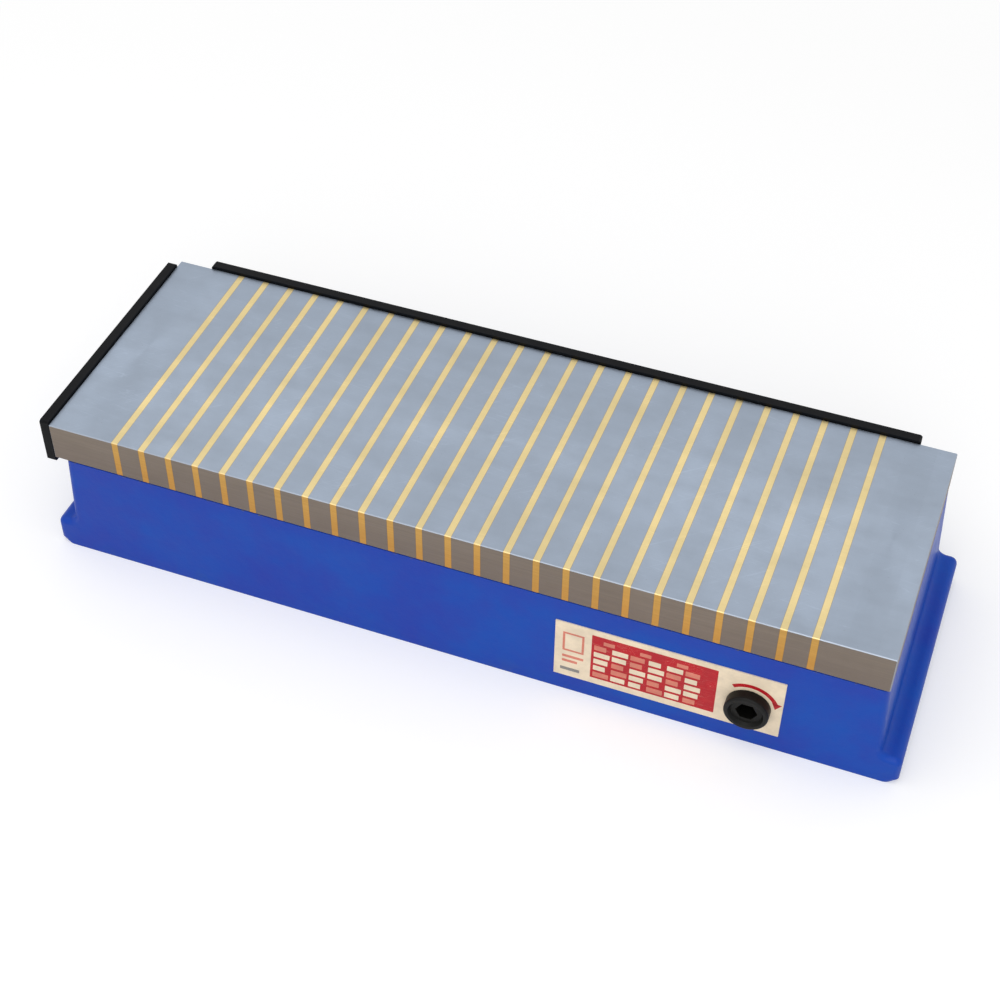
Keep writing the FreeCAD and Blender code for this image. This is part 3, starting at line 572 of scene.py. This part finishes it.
@dataclass(frozen=True)
class MachinedMetal:
    """Turned or milled metal of the inner pieces, with fine tool lines and light stains."""

    name: str
    metal: Colour
    stain: Colour
    roughness: float = 0.34
    lines: Triple = (1300.0, 30.0, 30.0)

    def make(self) -> Material:
        """Build the material."""
        g = Graph(self.name)
        tool = g.noise(1.0, 4.0, 0.65, g.stretched(self.lines))
        clouds = g.noise(90.0, 4.0, 0.6)
        colour = g.mix(g.band(tool, 0.3, 0.7), shade(self.metal, 0.88), shade(self.metal, 1.08))
        colour = g.mix(g.band(clouds, 0.52, 0.75, 0.0, 0.4), colour, self.stain)
        # Painted highlight: edges are lightened as if they caught the light.
        colour = g.mix(g.maths("MULTIPLY", g.edges(0.3 * MM), 0.4), colour, shade(self.metal, 1.25))
        rough = g.band(clouds, 0.3, 0.7, self.roughness - 0.05, self.roughness + 0.12)
        g.surface(base_color=colour, metallic=1.0, roughness=rough, normal=g.relief(tool, 0.012 * MM))
        return g.material


@dataclass(frozen=True)
class DullSolid:
    """A matt, grainy solid such as sintered magnet or rubber."""

    name: str
    colour: Colour
    grain: float
    roughness: float

    def make(self) -> Material:
        """Build the material."""
        g = Graph(self.name)
        grain = g.noise(self.grain, 3.0, 0.6)
        clouds = g.noise(self.grain / 12, 3.0, 0.6)
        colour = g.mix(g.band(clouds, 0.3, 0.7), shade(self.colour, 0.8), shade(self.colour, 1.2))
        # Painted highlight: edges are made much lighter, as a sheen along them.
        colour = g.mix(g.maths("MULTIPLY", g.edges(0.3 * MM), 0.3), colour, shade(self.colour, 2.0))
        rough = g.band(grain, 0.3, 0.7, self.roughness - 0.06, self.roughness + 0.06)
        g.surface(base_color=colour, roughness=rough, normal=g.relief(grain, 0.03 * MM))
        return g.material


@dataclass(frozen=True)
class PrintedFilm:
    """A printed colour on the nameplate, slightly worn through to what lies under it."""

    name: str
    ink: Colour
    under: Colour
    wear: float

    def make(self) -> Material:
        """Build the material."""
        g = Graph(self.name)
        clouds = g.noise(110.0, 4.0, 0.6)
        dots = g.noise(1800.0, 3.0, 0.7)
        rub = g.hairlines((60.0, 900.0, 900.0), 0.0, 0.010)
        colour = g.mix(g.band(clouds, 0.3, 0.7), shade(self.ink, 0.90), shade(self.ink, 1.08))
        gone = g.maths("MULTIPLY", g.band(dots, 0.60, 0.68), g.band(clouds, 0.48, 0.66))
        gone = g.maths("MAXIMUM", gone, g.maths("MULTIPLY", rub, 0.4))
        colour = g.mix(g.maths("MULTIPLY", gone, self.wear), colour, self.under)
        rough = g.band(clouds, 0.3, 0.7, 0.34, 0.50)
        g.surface(base_color=colour, roughness=rough, specular_ior_level=0.3,
                  normal=g.relief(g.noise(700.0, 2.0), 0.02 * MM))
        return g.material


def dress(finish: Material, *nodes: str) -> list[Object]:
    """Give CAD nodes a finish.

    Args:
        finish: The material.
        nodes: Names of the nodes.

    Returns:
        Their objects.
    """
    dressed = []
    for name in nodes:
        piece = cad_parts[name]
        if not piece.material_slots:
            piece.data.materials.append(finish)
        for slot in piece.material_slots:
            slot.material = finish
        dressed.append(piece)
    return dressed


def new_piece(name: str, shape: bmesh.types.BMesh, finish: Material, body: Body) -> Object:
    """Turn a bmesh into a piece that rides on a body.

    Args:
        name: The piece's name.
        shape: Its mesh, in place. It is freed.
        finish: Its material.
        body: The body that it rides on.

    Returns:
        The new object.
    """
    bmesh.ops.remove_doubles(shape, verts=shape.verts, dist=1e-7)
    bmesh.ops.recalc_face_normals(shape, faces=shape.faces)
    mesh = bpy.data.meshes.new(name)
    shape.to_mesh(mesh)
    shape.free()
    mesh.materials.append(finish)
    piece = bpy.data.objects.new(name, mesh)
    bpy.context.scene.collection.objects.link(piece)
    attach(piece, body.value)
    return piece


# ---- Top plate ----------------------------------------------------------------------------------


@dataclass
class TopPlate:
    """Laminated working plate of steel poles and brass strips, with its screws and gasket."""

    strip_count: int = 25
    steel_top: Colour = srgb(157, 168, 183)
    # The side colours are darker, browner copies of the top colours: painted shade and reflection on the
    # upright faces.
    steel_side: Colour = srgb(135, 124, 113)
    steel_side_low_painted_shade: Colour = srgb(122, 110, 103)
    brass_top: Colour = srgb(224, 204, 151)
    brass_side: Colour = srgb(206, 162, 88)
    brass_side_low_painted_shade: Colour = srgb(190, 132, 62)

    def lamination(self, name: str, top: Colour, side: Colour, side_low: Colour) -> Material:
        """Finish of one metal of the plate, with the joints where the strips are.

        Args:
            name: The material's name.
            top: Colour of the working face.
            side: Colour of the upright faces, a darker, browner copy of the metal that is painted shade and
                reflection.
            side_low: Colour towards their lower edge, darker still, also painted shade.

        Returns:
            The material.
        """
        low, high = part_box("brass_strips")
        half = (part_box("pole_bars")[0].x - low.x) / 2
        pitch = (high.x - low.x - 2 * half) / (self.strip_count - 1)
        return GroundLamination(name, top, side, side_low, high.z, low.z,
                                low.x + half, half, pitch, self.strip_count).make()

    def build(self) -> list[Object]:
        """Dress the plate's nodes.

        Returns:
            Their objects.
        """
        steel = self.lamination("ground_steel", self.steel_top, self.steel_side, self.steel_side_low_painted_shade)
        brass = self.lamination("ground_brass", self.brass_top, self.brass_side, self.brass_side_low_painted_shade)
        screws = BlackFinish("oxide_screw", srgb(34, 33, 31), srgb(120, 116, 110), 0.42, 0.9).make()
        gasket = DullSolid("gasket_sheet", srgb(26, 26, 26), 900.0, 0.8).make()
        pieces = dress(steel, "left_end_block", "right_end_block", "pole_bars")
        pieces += dress(brass, "brass_strips")
        pieces += dress(screws, "plate_screws")
        pieces += dress(gasket, "plate_gasket")
        return pieces


# ---- Base ---------------------------------------------------------------------------------------


@dataclass
class BaseCasting:
    """Cast box with its end ledges, bushes, stop pin and wear strips."""

    blue: Colour = srgb(4, 76, 178)
    deep_tone_and_shade: Colour = srgb(26, 58, 168)
    thin: Colour = srgb(58, 104, 196)
    primer: Colour = srgb(96, 98, 104)
    iron: Colour = srgb(122, 122, 122)

    def build(self) -> list[Object]:
        """Dress the base's nodes.

        Returns:
            Their objects.
        """
        enamel = CastEnamel("blue_enamel", self.blue, self.deep_tone_and_shade, self.thin, self.primer, self.iron).make()
        bronze = MachinedMetal("bush_bronze", srgb(186, 132, 78), srgb(120, 82, 46)).make()
        brass = MachinedMetal("strip_brass", srgb(205, 172, 98), srgb(140, 110, 60), 0.4,
                              (40.0, 1100.0, 40.0)).make()
        steel = MachinedMetal("pin_steel", srgb(176, 178, 182), srgb(110, 104, 98)).make()
        pieces = dress(enamel, "base_casting")
        pieces += dress(bronze, "front_bush", "rear_bush")
        pieces += dress(brass, "floor_wear_strips", "side_wear_strips")
        pieces += dress(steel, "stop_pin")
        return pieces


# ---- Nameplate ----------------------------------------------------------------------------------


@dataclass
class Nameplate:
    """Printed plate on the front, with a blank data table and a turning mark round the drive.

    Places on the plate are measured from its lower left corner, in metres.
    """

    ink_thickness: float = 0.05 * MM
    panel: tuple[float, float, float, float] = (19.5 * MM, 85 * MM, 4.4 * MM, 36.8 * MM)
    rows: int = 5
    columns: int = 6
    panel_margin: float = 1.4 * MM
    side_column: float = 8.0 * MM
    column_gap: float = 1.2 * MM
    field_height: float = 3.5 * MM
    row_step: float = 5.1 * MM
    header_height: float = 2.6 * MM
    field_corner: float = 0.3 * MM
    stamp: tuple[float, float, float, float] = (4.2 * MM, 15.6 * MM, 19.5 * MM, 33.5 * MM)
    stamp_line: float = 1.2 * MM
    blank_line: float = 1.8 * MM
    blank_line_drop: float = 5.0 * MM
    blank_line_step: float = 3.6 * MM
    blank_line_short: float = 3.2 * MM
    number: tuple[float, float, float, float] = (3.4 * MM, 13.8 * MM, 4.4 * MM, 6.6 * MM)
    field_shortening: Triple = (0.0, 0.24, 0.1)
    header_share: float = 0.7
    mark_radius: float = 14.6 * MM
    mark_width: float = 2.3 * MM
    mark_start: float = 22.0
    mark_end: float = 128.0
    mark_step: float = 4.0
    arrow_size: float = 3.0 * MM
    cream: Colour = srgb(240, 222, 194)
    red: Colour = srgb(186, 14, 30)
    salmon: Colour = srgb(218, 128, 108)
    grey: Colour = srgb(140, 137, 132)

    def corner(self) -> Vector:
        """Lower left corner of the plate's printed face."""
        return Vector(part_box("nameplate")[0])

    def drive_centre(self) -> Vector:
        """Point where the drive's axis passes through the printed face."""
        low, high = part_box("eccentric_shaft")
        return Vector(((low.x + high.x) / 2, self.corner().y, (low.z + high.z) / 2))

    def patch(self, shape: bmesh.types.BMesh, left: float, right: float, low: float, high: float,
              layer: int = 0) -> None:
        """Add one rectangle of ink with rounded corners.

        Args:
            shape: Where it is added.
            left: Left edge on the plate.
            right: Right edge.
            low: Lower edge.
            high: Upper edge.
            layer: How many layers of ink lie under it.
        """
        thickness = self.ink_thickness
        middle = self.corner() + Vector(((left + right) / 2, -thickness * (layer + 0.5), (low + high) / 2))
        size = Matrix.Diagonal((right - left, thickness, high - low, 1.0))
        made = bmesh.ops.create_cube(shape, size=1.0, matrix=Matrix.Translation(middle) @ size)
        corners = [edge for edge in shape.edges if edge.verts[0] in made["verts"]
                   and abs(edge.verts[0].co.y - edge.verts[1].co.y) > thickness / 2]
        bmesh.ops.bevel(shape, geom=corners, offset=self.field_corner, segments=4, profile=0.5,
                        affect="EDGES", material=-1)

    def arc(self, shape: bmesh.types.BMesh, centre: Vector) -> None:
        """Add the turning mark's curved line of ink.

        Args:
            shape: Where it is added.
            centre: Point that it runs round, on the printed face.
        """
        angle = math.radians(self.mark_start)
        along = Vector((math.cos(angle), 0.0, math.sin(angle)))
        ends = [shape.verts.new(centre + along * (self.mark_radius + side * self.mark_width / 2))
                for side in (-1, 1)]
        line = shape.edges.new(ends)
        turn = self.mark_end - self.mark_start
        bmesh.ops.spin(shape, geom=ends + [line], cent=centre, axis=(0.0, -1.0, 0.0),
                       angle=math.radians(turn), steps=int(turn / self.mark_step))
        raised = bmesh.ops.extrude_face_region(shape, geom=list(shape.faces), use_keep_orig=True)
        front = [item for item in raised["geom"] if isinstance(item, bmesh.types.BMVert)]
        bmesh.ops.translate(shape, verts=front, vec=(0.0, -self.ink_thickness, 0.0))

    def red_panel(self) -> bmesh.types.BMesh:
        """The table's red ground."""
        shape = bmesh.new()
        self.patch(shape, *self.panel)
        return shape

    def fields(self, pale: bool) -> bmesh.types.BMesh:
        """Blank fields of one colour on the red ground.

        Args:
            pale: True for the cream fields, False for the salmon ones and the header's.

        Returns:
            Their mesh.
        """
        shape = bmesh.new()
        left, right, low, _ = self.panel
        first_column = left + self.panel_margin
        inner = right - self.side_column - first_column
        width = (inner - (self.columns - 1) * self.column_gap) / self.columns
        first_row = low + self.panel_margin
        for row in range(self.rows):
            base = first_row + row * self.row_step
            for column in range(self.columns):
                if ((2 * row + column) % 5 not in (0, 3)) != pale:
                    continue
                shorter = width * self.field_shortening[(row + 2 * column) % 3]
                start = first_column + column * (width + self.column_gap)
                self.patch(shape, start, start + width - shorter, base, base + self.field_height, 1)
        if not pale:
            header = first_row + self.rows * self.row_step
            for column in range(0, self.columns, 2):
                start = first_column + (column + 0.5) * (width + self.column_gap)
                end = start + width * self.header_share
                self.patch(shape, start, end, header, header + self.header_height, 1)
        return shape

    def stamp_field(self) -> bmesh.types.BMesh:
        """Salmon frame of the blank stamping field, with two blank lines under it."""
        shape = bmesh.new()
        left, right, low, high = self.stamp
        line = self.stamp_line
        self.patch(shape, left, right, low, low + line)
        self.patch(shape, left, right, high - line, high)
        self.patch(shape, left, left + line, low + line, high - line)
        self.patch(shape, right - line, right, low + line, high - line)
        first = low - self.blank_line_drop
        second = first - self.blank_line_step
        self.patch(shape, left, right, first, first + self.blank_line)
        self.patch(shape, left, right - self.blank_line_short, second, second + self.blank_line)
        return shape

    def number_field(self) -> bmesh.types.BMesh:
        """Grey blank field for a stamped number."""
        shape = bmesh.new()
        self.patch(shape, *self.number)
        return shape

    def turning_mark(self) -> bmesh.types.BMesh:
        """Curved arrow over the drive that shows which way it turns."""
        shape = bmesh.new()
        centre = self.drive_centre()
        self.arc(shape, centre)
        angle = math.radians(self.mark_start)
        place = (Matrix.Translation(centre - Vector((0.0, self.ink_thickness / 2, 0.0)))
                 @ Matrix.Rotation(-angle, 4, "Y") @ Matrix.Translation((self.mark_radius, 0.0, 0.0))
                 @ Matrix.Rotation(math.pi / 2, 4, "X") @ Matrix.Rotation(-math.pi / 2, 4, "Z"))
        bmesh.ops.create_cone(shape, cap_ends=True, segments=3, radius1=self.arrow_size,
                              radius2=self.arrow_size, depth=self.ink_thickness, matrix=place)
        return shape

    def build(self) -> list[Object]:
        """Dress the plate and lay the print on it.

        Returns:
            The objects.
        """
        ground = PrintedFilm("cream_print", self.cream, srgb(205, 190, 168), 0.5).make()
        red = PrintedFilm("red_print", self.red, self.cream, 0.4).make()
        cream = PrintedFilm("cream_fields", self.cream, self.red, 0.25).make()
        salmon = PrintedFilm("salmon_print", self.salmon, self.cream, 0.6).make()
        grey = PrintedFilm("grey_print", self.grey, self.cream, 0.5).make()
        pieces = dress(ground, "nameplate")
        prints = [
            ("red_panel", self.red_panel(), red),
            ("cream_fields", self.fields(True), cream),
            ("salmon_fields", self.fields(False), salmon),
            ("stamp_field", self.stamp_field(), salmon),
            ("number_field", self.number_field(), grey),
            ("turning_mark", self.turning_mark(), red),
        ]
        for name, shape, finish in prints:
            pieces.append(new_piece(name, shape, finish, Body.CHUCK_BASE))
        return pieces


# ---- Drive, pack and stops ----------------------------------------------------------------------


@dataclass
class Drive:
    """Cross shaft with its collar, cams and stop disc."""

    oxide: Colour = srgb(9, 9, 7)
    rubbed: Colour = srgb(54, 52, 47)

    def build(self) -> list[Object]:
        """Dress the drive's nodes.

        Returns:
            Their objects.
        """
        black = BlackFinish("black_oxide", self.oxide, self.rubbed, 0.44).make()
        steel = MachinedMetal("cam_steel", srgb(170, 172, 176), srgb(104, 98, 92), 0.3).make()
        rubber = DullSolid("seal_rubber", srgb(22, 22, 22), 2400.0, 0.6).make()
        pieces = dress(black, "eccentric_shaft", "drive_collar", "collar_grub_screw")
        pieces += dress(steel, "stop_disc", "stop_disc_pin", "eccentric_cams", "cam_keys", "shaft_spacers")
        pieces += dress(rubber, "shaft_seal")
        return pieces


@dataclass
class MagnetPack:
    """Sliding pack of steel bars and magnets, with its yoke, plates and tie bars."""

    def build(self) -> list[Object]:
        """Dress the pack's nodes.

        Returns:
            Their objects.
        """
        steel = MachinedMetal("bar_steel", srgb(160, 164, 170), srgb(112, 104, 96), 0.36,
                              (60.0, 1200.0, 60.0)).make()
        magnet = DullSolid("sintered_magnet", srgb(62, 62, 66), 1600.0, 0.66).make()
        alloy = MachinedMetal("plate_alloy", srgb(196, 198, 202), srgb(150, 148, 146), 0.38,
                              (50.0, 1000.0, 50.0)).make()
        brass = MachinedMetal("tie_brass", srgb(205, 170, 96), srgb(140, 108, 58)).make()
        bronze = MachinedMetal("yoke_bronze", srgb(184, 130, 76), srgb(118, 80, 44)).make()
        screws = BlackFinish("pack_screw", srgb(34, 33, 31), srgb(120, 116, 110), 0.42, 0.9).make()
        pieces = dress(steel, "pack_tall_bars", "pack_short_bars")
        pieces += dress(magnet, "pack_tall_magnets", "pack_short_magnets")
        pieces += dress(alloy, "pack_bottom_plate", "pack_left_plate", "pack_right_plate")
        pieces += dress(brass, "pack_tie_bars")
        pieces += dress(bronze, "drive_yoke")
        pieces += dress(screws, "pack_tie_screws", "yoke_screws")
        return pieces


@dataclass
class EdgeStops:
    """Black stops along the back and the left end, with their clamp screws."""

    black: Colour = srgb(4, 5, 8)

    def build(self) -> list[Object]:
        """Dress the stops' nodes.

        Returns:
            Their objects.
        """
        plate = BlackFinish("black_stop", self.black, srgb(52, 55, 60), 0.5, 0.0, 0.12, 0.35).make()
        screws = BlackFinish("stop_screw", srgb(18, 18, 18), srgb(110, 108, 104), 0.4, 0.0, 0.3).make()
        pieces = dress(plate, "back_stop_plate", "end_stop_plate")
        pieces += dress(screws, "back_stop_screws", "end_stop_screws")
        return pieces


# ---- Studio -------------------------------------------------------------------------------------


@dataclass
class Camera:
    """Camera that looks down on the chuck from its front right."""

    azimuth: float = 20.042
    elevation: float = 45.022
    roll: float = 0.666
    distance: float = 0.98946
    target: Triple = (-0.00312, 0.00024, 0.04500)
    lens: float = 66.156
    sensor: float = 36.0

    def build(self) -> None:
        """Make the camera and set it as the scene's."""
        side, rise = math.radians(self.azimuth), math.radians(self.elevation)
        back = Vector((math.sin(side) * math.cos(rise), -math.cos(side) * math.cos(rise), math.sin(rise)))
        data = bpy.data.cameras.new("camera")
        data.lens = self.lens
        data.sensor_width = self.sensor
        camera = bpy.data.objects.new("camera", data)
        bpy.context.scene.collection.objects.link(camera)
        level = (-back).to_track_quat("-Z", "Y").to_matrix()
        rolled = level @ Matrix.Rotation(math.radians(self.roll), 3, "Z")
        place = Vector(self.target) + back * self.distance
        camera.matrix_world = Matrix.Translation(place) @ rolled.to_4x4()
        bpy.context.scene.camera = camera


@dataclass
class Studio:
    """Pale floor, white surroundings and soft lamps."""

    floor_size: float = 8.0
    floor_grey: float = 0.80
    ambient: float = 0.62
    backdrop_lift: float = 0.30
    white_from: float = 0.45
    white_by: float = 1.0
    lamp_power: float = 9.0
    overhead_place: Triple = (-0.25, -0.35, 1.7)
    overhead_size: float = 1.6
    front_place: Triple = (0.45, -1.6, 1.0)
    front_size: float = 1.2

    def floor(self) -> None:
        """Pale floor that keeps the chuck's shadow and turns plain white further out."""
        shape = bmesh.new()
        bmesh.ops.create_grid(shape, x_segments=1, y_segments=1, size=self.floor_size / 2)
        bmesh.ops.translate(shape, verts=shape.verts, vec=(0.0, 0.0, -0.05 * MM))
        mesh = bpy.data.meshes.new("studio_floor")
        shape.to_mesh(mesh)
        shape.free()
        g = Graph("studio_floor")
        g.nodes.remove(g.shader)
        diffuse = g.nodes.new("ShaderNodeBsdfDiffuse")
        diffuse.inputs["Color"].default_value = (self.floor_grey, self.floor_grey, self.floor_grey, 1.0)
        lift = g.nodes.new("ShaderNodeEmission")
        lift.inputs["Strength"].default_value = self.backdrop_lift
        near = g.nodes.new("ShaderNodeAddShader")
        white = g.nodes.new("ShaderNodeEmission")
        white.inputs["Strength"].default_value = 1.0
        distance = g.nodes.new("ShaderNodeVectorMath")
        distance.operation = "LENGTH"
        seen = g.nodes.new("ShaderNodeMixShader")
        pick = g.nodes.new("ShaderNodeMixShader")
        g.links.new(g.point(), distance.inputs[0])
        g.links.new(diffuse.outputs[0], near.inputs[0])
        g.links.new(lift.outputs[0], near.inputs[1])
        g.feed(seen.inputs[0], g.band(distance.outputs["Value"], self.white_from, self.white_by))
        g.links.new(near.outputs[0], seen.inputs[1])
        g.links.new(white.outputs[0], seen.inputs[2])
        g.links.new(seen_rays(g.nodes, g.links), pick.inputs[0])
        g.links.new(diffuse.outputs[0], pick.inputs[1])
        g.links.new(seen.outputs[0], pick.inputs[2])
        g.links.new(pick.outputs[0], g.nodes["Material Output"].inputs["Surface"])
        mesh.materials.append(g.material)
        floor = bpy.data.objects.new("studio_floor", mesh)
        bpy.context.scene.collection.objects.link(floor)
        floor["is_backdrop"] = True

    def surroundings(self) -> None:
        """World that is white where it is seen and softer where it lights."""
        world = bpy.data.worlds.new("studio")
        bpy.context.scene.world = world
        world.use_nodes = True
        nodes, links = world.node_tree.nodes, world.node_tree.links
        nodes.clear()
        soft = nodes.new("ShaderNodeBackground")
        soft.inputs["Strength"].default_value = self.ambient
        white = nodes.new("ShaderNodeBackground")
        white.inputs["Strength"].default_value = 1.0
        for each in (soft, white):
            each.inputs["Color"].default_value = (1.0, 1.0, 1.0, 1.0)
        pick = nodes.new("ShaderNodeMixShader")
        out = nodes.new("ShaderNodeOutputWorld")
        links.new(seen_rays(nodes, links), pick.inputs[0])
        links.new(soft.outputs[0], pick.inputs[1])
        links.new(white.outputs[0], pick.inputs[2])
        links.new(pick.outputs[0], out.inputs["Surface"])

    def lamp(self, name: str, place: Triple, size: float) -> None:
        """Add one square lamp that faces the chuck.

        Args:
            name: The lamp's name.
            place: Where it stands.
            size: Length of its sides.
        """
        data = bpy.data.lights.new(name, "AREA")
        data.shape = "SQUARE"
        data.size = size
        data.energy = self.lamp_power
        lamp = bpy.data.objects.new(name, data)
        bpy.context.scene.collection.objects.link(lamp)
        lamp.location = place
        lamp.rotation_euler = (-Vector(place)).to_track_quat("-Z", "Y").to_euler()

    def build(self) -> None:
        """Set up the floor, the surroundings, the lamps and the view settings."""
        self.floor()
        self.surroundings()
        self.lamp("overhead_lamp", self.overhead_place, self.overhead_size)
        self.lamp("front_lamp", self.front_place, self.front_size)
        bpy.context.scene.view_settings.view_transform = "Standard"


def seen_rays(nodes: bpy.types.Nodes, links: bpy.types.NodeLinks) -> NodeSocket:
    """Share that is 1 for camera, glossy and transmission rays and 0 for the rest.

    Args:
        nodes: Nodes of the tree that needs it.
        links: Links of the same tree.

    Returns:
        The share.
    """
    path = nodes.new("ShaderNodeLightPath")
    total = path.outputs["Is Camera Ray"]
    for name in ("Is Glossy Ray", "Is Transmission Ray"):
        add = nodes.new("ShaderNodeMath")
        add.operation = "MAXIMUM"
        links.new(total, add.inputs[0])
        links.new(path.outputs[name], add.inputs[1])
        total = add.outputs[0]
    return total


def corners() -> list[list[float]]:
    """Lowest and highest corner of the shown object, as plain lists."""
    return [list(corner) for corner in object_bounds()]


def main() -> None:
    """Build every sub-assembly in order, then the studio."""
    logging.basicConfig(level=logging.INFO, format="%(message)s")
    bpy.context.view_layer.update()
    for assembly in (TopPlate(), BaseCasting(), Nameplate(), Drive(), MagnetPack(), EdgeStops()):
        for piece in assembly.build():
            LOG.info("%s: %s, %d faces", type(assembly).__name__, piece.name, len(piece.data.polygons))
    Studio().build()
    Camera().build()


if __name__ == "__main__":
    main()
